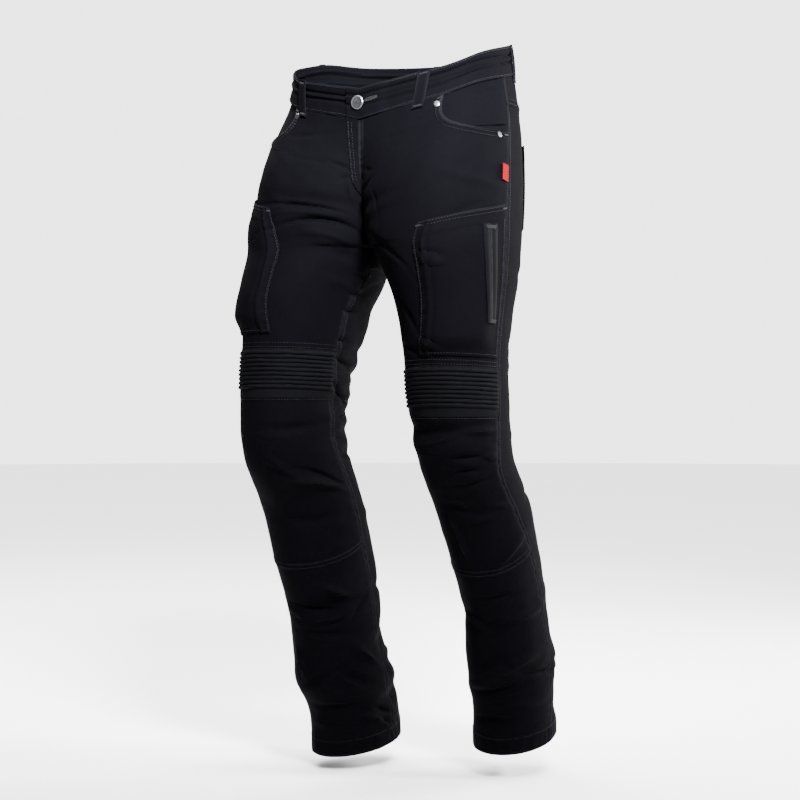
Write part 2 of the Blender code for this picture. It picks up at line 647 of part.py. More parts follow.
def cargo_zip(side):
    """The closed zip welt that runs down the cargo pocket."""
    turns = np.linspace(*CARGO_ZIP_TURNS, 4)
    levels = np.linspace(0.0, CARGO_ZIP_LENGTH, 10) + CARGO_TOP[side]
    turn = np.repeat(turns[None, :], len(levels), axis=0)
    level = np.repeat(levels[:, None], len(turns), axis=1)
    lift = cargo_lift(side, turn, level) + PATCH_CLOTH + CARGO_ZIP_LIFT
    return add_patch(f"cargo_zip_{side}", side, turn, level, lift, "zip_tape", THIN_CLOTH)


def side_label():
    """The plain folded tab sewn into the left side seam."""
    turns = np.linspace(*LABEL_TURNS, 4)
    levels = np.linspace(*LABEL_LEVELS, 4)
    level = levels[:, None] + (turns[None, :] - turns[-1]) * LABEL_LEAN
    turn = np.repeat(turns[None, :], len(levels), axis=0)
    return add_patch("side_label", "left", turn, level, PATCH_LIFT, "red_label", THIN_CLOTH)


def waist_points(place, level, lift):
    """Points round the whole waist: place -1 is the front centre, 0 the back, 1 the front again."""
    left = np.abs(place) <= 1
    on_left = np.where(left, place > 0, place < 0)
    turn = np.where(left, 1 - np.abs(place), np.abs(place) - 1)
    flip = np.where(on_left, 1.0, -1.0)[..., None] * (1, 0, 0) + np.array((0, 1, 1))
    return cloth_points("left", turn, level, lift) * flip


def waistband():
    """One strip round the waist, its left end lapped over the right one."""
    start = -1 - TAB_UNDERLAP_TURN
    end = 1 + TAB_LAP_TURN
    lapped = 1 - TAB_UNDERLAP_TURN
    body = np.linspace(start, lapped - 0.05, 50)
    tab = np.linspace(lapped - 0.025, end, 5)
    places = np.concatenate([body, tab])
    levels = np.array([0.0, 0.014, 0.029, BAND_HEIGHT - SEAM_GAP / 2])
    place = np.repeat(places[None, :], len(levels), axis=0)
    level = np.repeat(levels[:, None], len(places), axis=1)
    lap = ramp(place, lapped - 0.050, lapped - 0.024) * (CLOTH + LAP_GAP)
    roll = np.array([0.0, 0.0008, -0.0004, 0.0])[:, None]
    outside = waist_points(place, level, lap + roll)
    inside = waist_points(place, level, lap + roll - CLOTH)
    return add_wall("waistband", outside[:, ::-1], inside[:, ::-1], "denim")


def belt_loop(name, place):
    """A flat loop over the band, sewn above and below it."""
    half = LOOP_WIDTH / 2 / WAIST_TURN_LENGTH
    places = np.linspace(place - half, place + half, 3)
    grid = np.repeat(places[None, :], len(LOOP_LEVELS), axis=0)
    level = np.repeat(np.array(LOOP_LEVELS)[:, None], len(places), axis=1)
    lift = np.repeat(np.array(LOOP_LIFTS)[:, None], len(places), axis=1)
    outside = waist_points(grid, level, lift + LOOP_CLOTH)
    inside = waist_points(grid, level, lift)
    return add_wall(name, outside[:, ::-1], inside[:, ::-1], "denim")


def turned_stud(name, centre, axis, profile, steps=20):
    """A round stud spun from (radius, height) points, its back at the centre and its face along the axis."""
    mesh = bpy.data.meshes.new(name)
    stud = bmesh.new()
    chain = [stud.verts.new((radius, 0.0, height)) for radius, height in profile]
    edges = [stud.edges.new(pair) for pair in zip(chain, chain[1:])]
    bmesh.ops.spin(
        stud,
        geom=chain + edges,
        cent=(0, 0, 0),
        axis=(0, 0, 1),
        angle=2 * math.pi,
        steps=steps,
        use_merge=True,
    )
    bmesh.ops.remove_doubles(stud, verts=stud.verts, dist=1e-6)
    bmesh.ops.recalc_face_normals(stud, faces=stud.faces)
    stud.to_mesh(mesh)
    stud.free()
    made = add_object(name, mesh, "nickel")
    made.rotation_mode = "QUATERNION"
    made.rotation_quaternion = Vector((0, 0, 1)).rotation_difference(Vector(axis))
    made.location = centre
    return made


def stud_on_cloth(name, side, turn, level, lift, profile):
    """A stud set on the cloth at (turn, level)."""
    spot = (np.array([turn]), np.array([level]))
    centre = cloth_points(side, *spot, np.array([lift]))[0]
    above = cloth_points(side, *spot, np.array([lift + 0.01]))[0]
    axis = (above - centre) / np.linalg.norm(above - centre)
    return turned_stud(name, centre.tolist(), axis.tolist(), profile)


def waist_button():
    """The shank button on the tab, a domed rim round a shallow blank face."""
    radius = BUTTON_RADIUS
    profile = [
        (0.0, 0.0),
        (radius * 0.80, 0.0),
        (radius, 0.0010),
        (radius, 0.0022),
        (radius * 0.90, 0.0030),
        (radius * 0.72, 0.0026),
        (0.0, 0.0024),
    ]
    lift = CLOTH + LAP_GAP + RIVET_LIFT
    return stud_on_cloth("waist_button", "right", 0.004, 0.021, lift, profile)


def rivets():
    """Small domed rivets at the ends of the pocket mouths."""
    radius = RIVET_RADIUS
    profile = [(0.0, 0.0), (radius, 0.0), (radius, 0.0006), (radius * 0.6, 0.0014), (0.0, 0.0016)]
    spots = {
        "rivet_left_mouth": ("left", MOUTH_TURN - 0.013, BAND_HEIGHT + 0.012),
        "rivet_left_side": ("left", 0.462, BAND_HEIGHT + MOUTH_DEPTH + 0.004),
        "rivet_right_mouth": ("right", MOUTH_TURN - 0.013, BAND_HEIGHT + 0.012),
    }
    for name, (side, turn, level) in spots.items():
        stud_on_cloth(name, side, turn, level, RIVET_LIFT, profile)


def main():
    """Clear the scene and build every piece."""
    for old in list(bpy.data.objects):
        bpy.data.objects.remove(old, do_unlink=True)
    waistband()
    for side in ("left", "right"):
        front_panel(side)
        hip_facing(side)
        knee_rib(side)
        knee_panel(side)
        shin_panel(side)
        yoke(side)
        back_panel(side)
        back_pocket(side)
        cargo_pocket(side)
        cargo_zip(side)
    coin_pocket()
    fly_lap()
    for name, place in LOOPS.items():
        belt_loop(name, place)
    side_label()
    waist_button()
    rivets()


if __name__ == "__main__":
    main()
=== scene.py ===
"""Black stretch-denim motorcycle trousers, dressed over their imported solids.

Each cloth piece is a thin shell on the form of its solid: the form's sections are the ones the solids are
built from, so a shell lies where its solid does, and the creases, seam laps and puckers are added to it.
"""

import logging
import math
from dataclasses import dataclass, field, replace
from enum import Enum
from typing import Callable, Sequence

import bmesh
import bpy
import numpy as np
from mathutils import Matrix, Vector


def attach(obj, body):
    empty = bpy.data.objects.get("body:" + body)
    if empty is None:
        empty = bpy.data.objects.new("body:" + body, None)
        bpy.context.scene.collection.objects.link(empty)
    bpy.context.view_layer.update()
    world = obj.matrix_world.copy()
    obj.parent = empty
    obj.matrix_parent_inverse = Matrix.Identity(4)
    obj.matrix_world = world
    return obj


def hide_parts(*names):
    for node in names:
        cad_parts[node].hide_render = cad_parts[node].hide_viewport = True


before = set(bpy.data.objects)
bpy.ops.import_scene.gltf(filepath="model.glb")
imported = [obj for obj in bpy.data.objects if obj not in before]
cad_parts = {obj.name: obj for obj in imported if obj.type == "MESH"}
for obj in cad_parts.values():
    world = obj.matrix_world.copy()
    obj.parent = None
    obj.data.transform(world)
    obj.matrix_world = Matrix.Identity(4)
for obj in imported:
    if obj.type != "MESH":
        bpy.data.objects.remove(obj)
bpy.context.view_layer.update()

logging.basicConfig(level=logging.INFO, format="%(message)s")
log = logging.getLogger("trousers")

MM = 0.001


class Side(Enum):
    """The wearer's own side, with the sign of its X."""

    LEFT = 1
    RIGHT = -1

    @property
    def word(self) -> str:
        """The side in lower case, as node names have it."""
        return self.name.lower()


class Finish(Enum):
    """The record's material slots."""

    DENIM = "denim"
    RIB = "stretch_rib"
    TAPE = "zip_tape"
    NICKEL = "nickel"
    LABEL = "red_label"


# The form: where the seams lie, and the sections that the cloth passes through


@dataclass(frozen=True)
class Seams:
    """Levels of one leg's seams below the waist, in metres."""

    rib_top: float
    rib_end: float
    knee_end: float
    hem: float


@dataclass(frozen=True)
class Section:
    """One level of half the garment: its inner and outer sides, its front and back, how far it has forked
    into a leg, how far the leg turns out in degrees, and the slope of the section's plane."""

    level: float
    inner: float
    outer: float
    front: float
    back: float
    fork: float
    turnout: float
    lean: float


@dataclass(frozen=True)
class Crease:
    """A soft trough (height below 0) or ridge about (turn, level).

    Attributes:
        turn: Place round the leg of its middle.
        level: Place down the leg of its middle.
        length: Half length along it, in metres.
        width: Half width across it, in metres.
        slant: Degrees from level; positive falls towards the side seam.
        bow: How much its ends hang or rise.
        height: How far it stands out, in metres.
    """

    turn: float
    level: float
    length: float
    width: float
    slant: float
    bow: float
    height: float


BAND_HEIGHT = 0.044
CROTCH = 0.285
YOKE_AT_SIDE = 0.085
YOKE_AT_BACK = 0.122
HEM_BAND = 0.025
KNEE_SEAM_RISE = 0.020
MOUTH_TURN = 0.235
MOUTH_DEPTH = 0.082
SEAM_GAP = 0.34 * MM
CLOTH = 1.8 * MM
SHELL = 1.3 * MM
FINE_SHELL = 1.0 * MM
TURN_LENGTH = 0.60
SHARP_ANGLE = math.radians(42)
# Distance of a shell's rows down the legs.
FINE_ROWS = 2.3 * MM
# How far a shell runs on under its neighbour at a seam, so that no light shows between them.
SEAM_TUCK = 0.8 * MM

SEAMS = {
    Side.LEFT: Seams(rib_top=0.462, rib_end=0.527, knee_end=0.744, hem=1.008),
    Side.RIGHT: Seams(rib_top=0.436, rib_end=0.501, knee_end=0.740, hem=1.026),
}

HIP_SECTIONS = (
    Section(0.000, 0.000, 0.164, -0.132, 0.116, 0.00, 0.0, 0.00),
    Section(0.045, 0.000, 0.169, -0.159, 0.108, 0.15, 0.0, 0.00),
    Section(0.100, 0.000, 0.182, -0.182, 0.099, 0.45, 0.0, 0.00),
    Section(0.150, 0.000, 0.191, -0.193, 0.092, 0.65, 0.0, 0.00),
    Section(0.200, 0.000, 0.198, -0.191, 0.082, 0.82, 0.0, 0.00),
    Section(0.245, 0.000, 0.202, -0.185, 0.070, 0.93, 0.0, 0.00),
    Section(0.285, 0.000, 0.204, -0.179, 0.059, 1.00, 0.0, 0.00),
)

LEG_SECTIONS = {
    Side.LEFT: (
        Section(0.330, 0.018, 0.201, -0.173, 0.055, 1.0, 5.0, -0.04),
        Section(0.375, 0.032, 0.194, -0.166, 0.049, 1.0, 10.0, -0.07),
        Section(0.450, 0.046, 0.190, -0.158, 0.034, 1.0, 12.0, -0.05),
        Section(0.520, 0.052, 0.192, -0.150, 0.030, 1.0, 12.0, 0.00),
        Section(0.590, 0.059, 0.191, -0.132, 0.042, 1.0, 12.0, 0.05),
        Section(0.655, 0.059, 0.194, -0.081, 0.081, 1.0, 12.0, 0.12),
        Section(0.730, 0.063, 0.189, -0.041, 0.123, 1.0, 12.0, 0.18),
        Section(0.800, 0.065, 0.185, -0.004, 0.152, 1.0, 12.0, 0.20),
        Section(0.880, 0.062, 0.187, 0.015, 0.165, 1.0, 12.0, 0.20),
        Section(0.955, 0.063, 0.183, 0.035, 0.183, 1.0, 12.0, 0.20),
        Section(1.020, 0.061, 0.183, 0.036, 0.194, 1.0, 12.0, 0.20),
    ),
    Side.RIGHT: (
        Section(0.330, 0.017, 0.201, -0.190, 0.040, 1.0, 5.0, -0.04),
        Section(0.365, 0.030, 0.194, -0.198, 0.022, 1.0, 10.0, -0.07),
        Section(0.435, 0.045, 0.193, -0.197, -0.003, 1.0, 12.0, -0.05),
        Section(0.505, 0.055, 0.195, -0.196, -0.016, 1.0, 12.0, 0.00),
        Section(0.580, 0.062, 0.194, -0.187, -0.013, 1.0, 12.0, 0.05),
        Section(0.655, 0.062, 0.198, -0.135, 0.025, 1.0, 12.0, 0.12),
        Section(0.730, 0.067, 0.193, -0.105, 0.059, 1.0, 12.0, 0.18),
        Section(0.800, 0.068, 0.188, -0.076, 0.080, 1.0, 12.0, 0.20),
        Section(0.880, 0.063, 0.187, -0.061, 0.089, 1.0, 12.0, 0.20),
        Section(0.915, 0.062, 0.185, -0.059, 0.099, 1.0, 12.0, 0.20),
        Section(0.957, 0.062, 0.182, -0.029, 0.121, 1.0, 12.0, 0.20),
        Section(1.035, 0.060, 0.180, -0.018, 0.134, 1.0, 12.0, 0.20),
    ),
}


@dataclass(frozen=True)
class Swing:
    """Degrees by which the inseam and the side seam lie forward of the leg's sides at one level."""

    level: float
    inseam: float
    side: float


SWINGS = {
    Side.LEFT: (
        Swing(0.285, 0.0, 6.0),
        Swing(0.330, 2.0, 11.0),
        Swing(0.400, 2.0, 16.0),
        Swing(0.500, 0.0, 19.0),
        Swing(0.570, -4.0, 25.0),
        Swing(0.620, -9.0, 32.0),
        Swing(0.670, -14.0, 27.0),
        Swing(0.715, -16.0, 16.0),
        Swing(0.770, -17.0, 11.0),
        Swing(1.020, -17.0, 11.0),
    ),
    Side.RIGHT: (
        Swing(0.285, 0.0, 6.0),
        Swing(0.330, 1.0, 11.0),
        Swing(0.400, 1.0, 16.0),
        Swing(0.475, -2.0, 19.0),
        Swing(0.545, -7.0, 25.0),
        Swing(0.600, -15.0, 32.0),
        Swing(0.650, -16.0, 27.0),
        Swing(0.700, -17.0, 16.0),
        Swing(0.755, -18.0, 11.0),
        Swing(1.035, -18.0, 11.0),
    ),
}

def creases(*rows: tuple[float, ...]) -> tuple[Crease, ...]:
    """Creases from rows of turn, level, half length, half width, slant, bow and height."""
    return tuple(Crease(*row) for row in rows)


# The large folds, which the solids have too.
LARGE_CREASES = {
    Side.LEFT: creases(
        (0.1, 0.225, 0.07, 0.013, -14.0, 0.5, -0.0035),
        (0.09, 0.262, 0.06, 0.012, -22.0, 0.8, -0.003),
        (0.86, 0.3, 0.08, 0.014, 18.0, 0.0, -0.004),
        (0.82, 0.372, 0.09, 0.016, 8.0, 0.0, -0.003),
        (0.25, 0.549, 0.11, 0.01, 0.0, -0.6, -0.0075),
        (0.22, 0.572, 0.09, 0.013, 3.0, -0.6, 0.004),
        (0.83, 0.48, 0.075, 0.011, 12.0, 0.0, -0.007),
        (0.8, 0.513, 0.08, 0.011, -8.0, 0.0, -0.008),
        (0.84, 0.545, 0.08, 0.011, 9.0, 0.0, -0.0075),
        (0.8, 0.58, 0.07, 0.012, -10.0, 0.0, -0.006),
        (0.2, 0.815, 0.07, 0.013, 8.0, 1.0, -0.005),
        (0.24, 0.898, 0.09, 0.013, -16.0, 0.0, 0.0065),
        (0.6, 0.893, 0.06, 0.02, -20.0, 0.0, 0.007),
        (0.75, 0.845, 0.08, 0.014, 14.0, 0.0, -0.005),
        (0.72, 0.945, 0.08, 0.013, -12.0, 0.0, -0.0055),
    ),
    Side.RIGHT: creases(
        (0.16, 0.215, 0.085, 0.013, -8.0, 0.6, -0.0045),
        (0.13, 0.245, 0.08, 0.013, -16.0, 0.8, -0.004),
        (0.86, 0.3, 0.08, 0.014, 18.0, 0.0, -0.004),
        (0.82, 0.365, 0.09, 0.016, 8.0, 0.0, -0.003),
        (0.92, 0.438, 0.06, 0.01, 10.0, 0.0, -0.006),
        (0.9, 0.465, 0.07, 0.01, -6.0, 0.0, -0.0065),
        (0.93, 0.492, 0.06, 0.01, 12.0, 0.0, -0.006),
        (0.9, 0.521, 0.07, 0.011, -8.0, 0.0, -0.0065),
        (0.92, 0.552, 0.06, 0.011, 6.0, 0.0, -0.005),
        (0.2, 0.622, 0.07, 0.014, 4.0, 0.8, 0.005),
        (0.15, 0.775, 0.07, 0.013, 6.0, 0.9, 0.0045),
        (0.18, 0.8, 0.07, 0.011, 6.0, 0.9, -0.0045),
        (0.92, 0.86, 0.06, 0.014, 16.0, 0.0, -0.005),
        (0.95, 0.925, 0.05, 0.015, -10.0, 0.0, 0.0075),
        (0.98, 0.958, 0.045, 0.01, 8.0, 0.0, -0.0055),
        (0.7, 0.9, 0.08, 0.014, -12.0, 0.0, -0.005),
    ),
}

# Finer creases, which only the shells have. Both legs share those at the back, a little apart.
BACK_CREASES = creases(
    (0.62, 0.33, 0.05, 0.008, 14.0, 0.0, -0.0022),
    (0.7, 0.408, 0.055, 0.008, -9.0, 1.0, -0.0035),
    (0.66, 0.462, 0.04, 0.006, 12.0, 0.0, 0.0032),
    (0.74, 0.498, 0.05, 0.006, 4.0, 0.0, 0.0043),
    (0.88, 0.527, 0.04, 0.005, -9.0, 0.0, -0.0038),
    (0.72, 0.561, 0.055, 0.006, 6.0, 0.0, 0.0043),
    (0.9, 0.6, 0.04, 0.006, 12.0, 0.0, -0.0032),
    (0.64, 0.64, 0.05, 0.008, -18.0, 0.0, -0.0032),
    (0.8, 0.7, 0.06, 0.009, 8.0, 0.8, 0.0029),
    (0.68, 0.78, 0.05, 0.007, -16.0, 0.0, 0.0032),
    (0.86, 0.815, 0.05, 0.007, 10.0, 0.0, -0.0035),
    (0.6, 0.905, 0.03, 0.006, 22.0, 0.0, -0.0035),
    (0.84, 0.915, 0.045, 0.006, -8.0, 0.0, 0.0038),
    (0.7, 0.975, 0.05, 0.006, 5.0, 0.0, -0.0032),
)

FINE_CREASES = {
    Side.LEFT: BACK_CREASES + creases(
        (0.06, 0.19, 0.03, 0.0051, -30.0, 0.0, -0.0027),
        (0.05, 0.15, 0.022, 0.0051, 20.0, 0.0, -0.002),
        (0.96, 0.245, 0.035, 0.0068, 30.0, 0.0, -0.0034),
        (0.31, 0.304, 0.012, 0.0026, 9.2, 0.0, -0.0037),
        (0.306, 0.317, 0.012, 0.0034, 14.3, -7.9, 0.0034),
        (0.246, 0.433, 0.018, 0.0034, 15.6, 0.5, 0.0049),
        (0.432, 0.547, 0.031, 0.0043, -1.8, 0.0, 0.0072),
        (0.256, 0.56, 0.047, 0.0038, -8.4, -0.5, 0.0054),
        (0.372, 0.582, 0.034, 0.0034, -1.7, 0.0, -0.0059),
        (0.462, 0.581, 0.016, 0.0034, -3.4, 0.0, 0.0072),
        (0.368, 0.6, 0.03, 0.0034, -2.8, 0.5, -0.0049),
        (0.382, 0.617, 0.039, 0.0034, -7.1, -1.1, -0.0045),
        (0.352, 0.663, 0.038, 0.0043, -0.7, 0.0, 0.0049),
        (0.442, 0.647, 0.022, 0.0034, 1.3, 1.0, 0.0038),
        (0.418, 0.71, 0.041, 0.0051, -23.6, 1.5, 0.0072),
        (0.254, 0.692, 0.027, 0.0051, 82.5, 0.0, 0.0072),
        (0.288, 0.648, 0.028, 0.0051, 9.0, 1.1, -0.0049),
        (0.202, 0.812, 0.035, 0.0051, 18.7, 4.3, 0.0072),
        (0.324, 0.776, 0.04, 0.0051, -4.8, -1.5, -0.0062),
        (0.39, 0.81, 0.052, 0.0059, -3.2, -0.6, 0.0059),
        (0.274, 0.879, 0.035, 0.0051, -2.4, 6.4, 0.0072),
        (0.37, 0.874, 0.032, 0.0043, -7.8, 1.6, 0.0072),
        (0.288, 0.914, 0.052, 0.0051, -5.9, -0.8, -0.0072),
        (0.352, 0.938, 0.051, 0.0051, 2.7, 0.0, 0.0054),
        (0.246, 0.958, 0.045, 0.0043, -0.6, 1.6, -0.0049),
        (0.462, 0.9, 0.051, 0.0051, 7.6, 1.0, -0.0072),
        (0.14, 0.224, 0.023, 0.0026, 61.5, 0.7, -0.002),
        (0.186, 0.292, 0.039, 0.0051, 41.2, 5.7, -0.0034),
        (0.174, 0.394, 0.027, 0.0051, 52.8, -0.7, -0.0038),
        (0.17, 0.441, 0.031, 0.0043, 16.5, 1.0, -0.0039),
        (0.394, 0.241, 0.032, 0.0059, -22.0, 0.0, -0.0015),
        (0.144, 0.093, 0.038, 0.0059, 0.0, -0.7, -0.0015),
        (0.392, 0.197, 0.048, 0.0076, 13.4, -1.1, 0.002),
    ),
    Side.RIGHT: tuple(
        replace(row, turn=row.turn + 0.03, level=row.level - 0.018, slant=-0.8 * row.slant)
        for row in BACK_CREASES
    ) + creases(
        (0.06, 0.14, 0.022, 0.0051, -20.0, 0.0, -0.0024),
        (0.05, 0.165, 0.022, 0.0051, 24.0, 0.0, -0.002),
        (0.96, 0.245, 0.035, 0.0068, 30.0, 0.0, -0.0034),
        (0.196, 0.224, 0.056, 0.0034, -7.1, 1.1, -0.0054),
        (0.182, 0.237, 0.043, 0.0043, -5.2, 1.6, 0.0034),
        (0.156, 0.248, 0.07, 0.0036, -4.0, 2.8, -0.0062),
        (0.144, 0.27, 0.038, 0.0059, -12.9, 4.0, 0.0034),
        (0.178, 0.085, 0.037, 0.0043, 11.4, 0.0, -0.002),
        (0.13, 0.136, 0.037, 0.0068, -6.2, 0.0, -0.0014),
        (0.06, 0.198, 0.021, 0.0034, -85.0, -1.6, -0.0031),
        (0.098, 0.3, 0.029, 0.0068, -15.6, -0.6, -0.0027),
        (0.054, 0.342, 0.027, 0.0059, -13.7, -1.0, 0.002),
        (0.098, 0.61, 0.042, 0.0043, -20.2, 2.8, -0.0049),
        (0.112, 0.62, 0.049, 0.0043, -10.9, 2.0, 0.0072),
        (0.218, 0.597, 0.025, 0.0068, -27.1, 2.0, 0.0045),
        (0.148, 0.544, 0.059, 0.0068, 2.9, -0.6, -0.0039),
        (0.178, 0.672, 0.064, 0.0076, -0.9, -0.5, -0.0039),
        (0.138, 0.775, 0.023, 0.0043, -24.1, 0.0, 0.0072),
        (0.208, 0.8, 0.043, 0.0043, -10.0, 0.0, -0.0072),
        (0.18, 0.817, 0.071, 0.0047, 1.2, -2.4, 0.0072),
        (0.198, 0.839, 0.049, 0.0051, -6.3, 0.0, -0.0059),
        (0.048, 0.803, 0.032, 0.0034, 31.1, 2.0, -0.0049),
        (0.298, 0.883, 0.021, 0.0051, -56.0, 0.0, 0.0072),
        (0.24, 0.908, 0.045, 0.0051, 14.5, 0.0, -0.0064),
        (0.054, 0.885, 0.023, 0.0043, -38.5, -0.7, 0.0072),
        (0.106, 0.912, 0.034, 0.0059, -33.1, -2.1, -0.0059),
        (0.094, 0.976, 0.038, 0.0038, -17.9, 5.3, 0.0072),
        (0.192, 0.952, 0.043, 0.0051, -2.0, -0.8, -0.0064),
        (0.242, 0.979, 0.037, 0.0051, -4.6, 1.8, 0.0049),
        (0.04, 0.974, 0.019, 0.0034, -24.4, -2.0, -0.0059),
        (0.044, 0.989, 0.02, 0.0034, -19.8, 0.0, -0.0054),
        (0.966, 0.452, 0.016, 0.0034, -15.9, -3.1, -0.0072),
        (0.954, 0.5, 0.03, 0.0034, -24.6, -3.7, -0.0072),
        (0.944, 0.531, 0.021, 0.0034, 2.7, 2.9, -0.0062),
        (0.95, 0.562, 0.02, 0.0034, -2.8, -0.7, -0.0062),
        (0.956, 0.587, 0.02, 0.0034, -1.4, 1.0, -0.0062),
        (0.954, 0.341, 0.017, 0.0043, 27.8, 1.8, -0.0051),
        (0.98, 0.319, 0.028, 0.0043, -6.1, -1.9, -0.0034),
        (0.02, 0.328, 0.01, 0.0026, 0.0, 0.0, -0.0034),
        (0.998, 0.355, 0.009, 0.0034, 3.1, -6.5, -0.0049),
        (0.99, 0.379, 0.01, 0.0034, -2.9, -5.3, -0.0049),
        (0.992, 0.421, 0.009, 0.0034, -3.1, -6.5, -0.0049),
    ),
}


def hump(distance: np.ndarray, width: float) -> np.ndarray:
    """1 on a line, falling off softly to both sides of it over this half width."""
    return np.exp(-((distance / width) ** 2))


def ramp(value: np.ndarray, start: float, end: float) -> np.ndarray:
    """0 up to start, 1 from end on, with a soft step between."""
    part = np.clip((value - start) / (end - start), 0.0, 1.0)
    return part * part * (3 - 2 * part)


def eased(rows: Sequence, name: str, at: np.ndarray, key: str = "level") -> np.ndarray:
    """Value of one field of a table at each place, eased from row to row.

    Args:
        rows: The table's rows, in order of their key.
        name: The field that is read.
        at: Places along the key.
        key: The field that the rows are ordered by.

    Returns:
        The field's value at each place.
    """
    knots = np.array([getattr(row, key) for row in rows])
    values = np.array([getattr(row, name) for row in rows])
    slopes = np.gradient(values, knots)
    first = np.clip(np.searchsorted(knots, at, side="right") - 1, 0, len(knots) - 2)
    run = knots[first + 1] - knots[first]
    part = (at - knots[first]) / run
    return (
        (2 * part**3 - 3 * part**2 + 1) * values[first]
        + (part**3 - 2 * part**2 + part) * run * slopes[first]
        + (3 * part**2 - 2 * part**3) * values[first + 1]
        + (part**3 - part**2) * run * slopes[first + 1]
    )


@dataclass(frozen=True)
class Dip:
    """Height of the band's top at one turn."""

    turn: float
    height: float


@dataclass(frozen=True)
class Form:
    """The trousers' outer face: half of it, read at (turn, level), and mirrored for the right side."""

    fly_depth: float = -0.130
    seat_depth: float = 0.104
    crotch_depth: float = -0.060
    fly_curve: float = 3.5
    seat_curve: float = 2.6
    hip_square: float = 0.06
    hip_swing_from: float = 0.05
    dip_from: float = 0.05
    dip_to: float = 0.26
    dips: tuple[Dip, ...] = (
        Dip(0.00, -0.062),
        Dip(0.10, -0.050),
        Dip(0.22, -0.036),
        Dip(0.37, -0.013),
        Dip(0.50, 0.000),
        Dip(0.63, 0.010),
        Dip(0.80, 0.008),
        Dip(1.00, 0.004),
    )

    def smooth(self, side: Side, turn: np.ndarray, level: np.ndarray) -> np.ndarray:
        """Points of the wearer's left half without creases, on the sections of the given side."""
        rows = HIP_SECTIONS + LEG_SECTIONS[side]
        leg = level > CROTCH
        inner = np.where(leg, np.maximum(eased(rows, "inner", level), 0.0), 0.0)
        outer = eased(rows, "outer", level)
        front = eased(rows, "front", level)
        back = eased(rows, "back", level)
        fork = np.where(leg, 1.0, np.clip(eased(rows, "fork", level), 0.0, 1.0))
        turnout = np.where(leg, np.radians(eased(rows, "turnout", level)), 0.0)
        lean = np.where(leg, eased(rows, "lean", level), 0.0)
        middle = (front + back) / 2
        half_depth = (back - front) / 2
        half_width = (outer - inner) / 2

        down = np.clip(level / CROTCH, 0.0, 1.0)
        fly_run = (1 - down**self.fly_curve) ** (1 / self.fly_curve)
        seat_run = (1 - down**self.seat_curve) ** (1 / self.seat_curve)
        fly = self.crotch_depth + (self.fly_depth - self.crotch_depth) * fly_run
        seat = self.crotch_depth + (self.seat_depth - self.crotch_depth) * seat_run

        down_leg = np.maximum(level, CROTCH)
        inseam = np.radians(eased(SWINGS[side], "inseam", down_leg))
        side_seam = np.radians(eased(SWINGS[side], "side", down_leg))
        side_seam = side_seam * ramp(level, self.hip_swing_from, CROTCH)
        round_front = inseam + 2 * turn * (math.pi - side_seam - inseam)
        round_back = math.pi - side_seam + (2 * turn - 1) * (math.pi + side_seam + inseam)
        angle = np.where(turn < 0.5, round_front, round_back)
        forward = np.sin(angle)
        fly_part = np.where(leg, 0.0, (middle - fly) / half_depth)
        seat_part = np.where(leg, 0.0, (seat - middle) / half_depth)
        at_back = np.where(angle > 1.5 * math.pi, -seat_part + (1 - seat_part) * forward, forward)
        forward = np.where(angle < math.pi / 2, fly_part + (1 - fly_part) * forward, at_back)
        leg_x = -half_width * np.cos(angle)
        leg_y = -half_depth * forward
        x_leg = (inner + outer) / 2 + leg_x * np.cos(turnout) - leg_y * np.sin(turnout)
        y_leg = middle + leg_x * np.sin(turnout) + leg_y * np.cos(turnout)
        wave = np.sin(math.pi * turn) + self.hip_square * np.sin(3 * math.pi * turn)
        x_hip = outer * wave / (1 - self.hip_square)
        y_hip = (fly + seat) / 2 - (seat - fly) / 2 * np.cos(math.pi * turn)
        x = (1 - fork) * x_hip + fork * x_leg + SEAM_GAP / 2
        y = (1 - fork) * y_hip + fork * y_leg
        dip = eased(self.dips, "height", np.clip(turn, 0.0, 1.0), key="turn")
        z = -level + dip * (1 - ramp(level, self.dip_from, self.dip_to)) + lean * (y - middle)
        return np.stack([x, y, z], axis=-1)

    def normals(self, shape: Callable, side: Side, turn: np.ndarray, level: np.ndarray) -> np.ndarray:
        """Unit normals of a shape of this form, pointing out of the cloth."""
        step = 0.002
        across = shape(side, turn + step, level) - shape(side, turn - step, level)
        down = shape(side, turn, level + step) - shape(side, turn, level - step)
        normal = np.cross(down, across)
        return normal / np.linalg.norm(normal, axis=-1, keepdims=True)

    def crease_height(self, side: Side, turn: np.ndarray, level: np.ndarray) -> np.ndarray:
        """How far all creases together stand out of the smooth form."""
        height = np.zeros_like(turn)
        for crease in LARGE_CREASES[side] + FINE_CREASES[side]:
            away = (turn - crease.turn + 0.5) % 1.0 - 0.5
            away = np.where(level > CROTCH, away, turn - crease.turn) * TURN_LENGTH
            below = level - crease.level
            slant = math.radians(crease.slant)
            along = away * math.cos(slant) + below * math.sin(slant)
            across = -away * math.sin(slant) + below * math.cos(slant) - crease.bow * along**2
            height += crease.height * np.exp(-((along / crease.length) ** 2) - (across / crease.width) ** 2)
        centre = np.minimum(np.abs(turn), np.abs(1 - turn))
        calm = np.where(level > CROTCH + 0.03, 1.0, ramp(centre, 0.0, 0.06))
        return height * calm

    def folded(self, side: Side, turn: np.ndarray, level: np.ndarray) -> np.ndarray:
        """Points of the wearer's left half with its creases."""
        height = self.crease_height(side, turn, level)[..., None]
        return self.smooth(side, turn, level) + self.normals(self.smooth, side, turn, level) * height

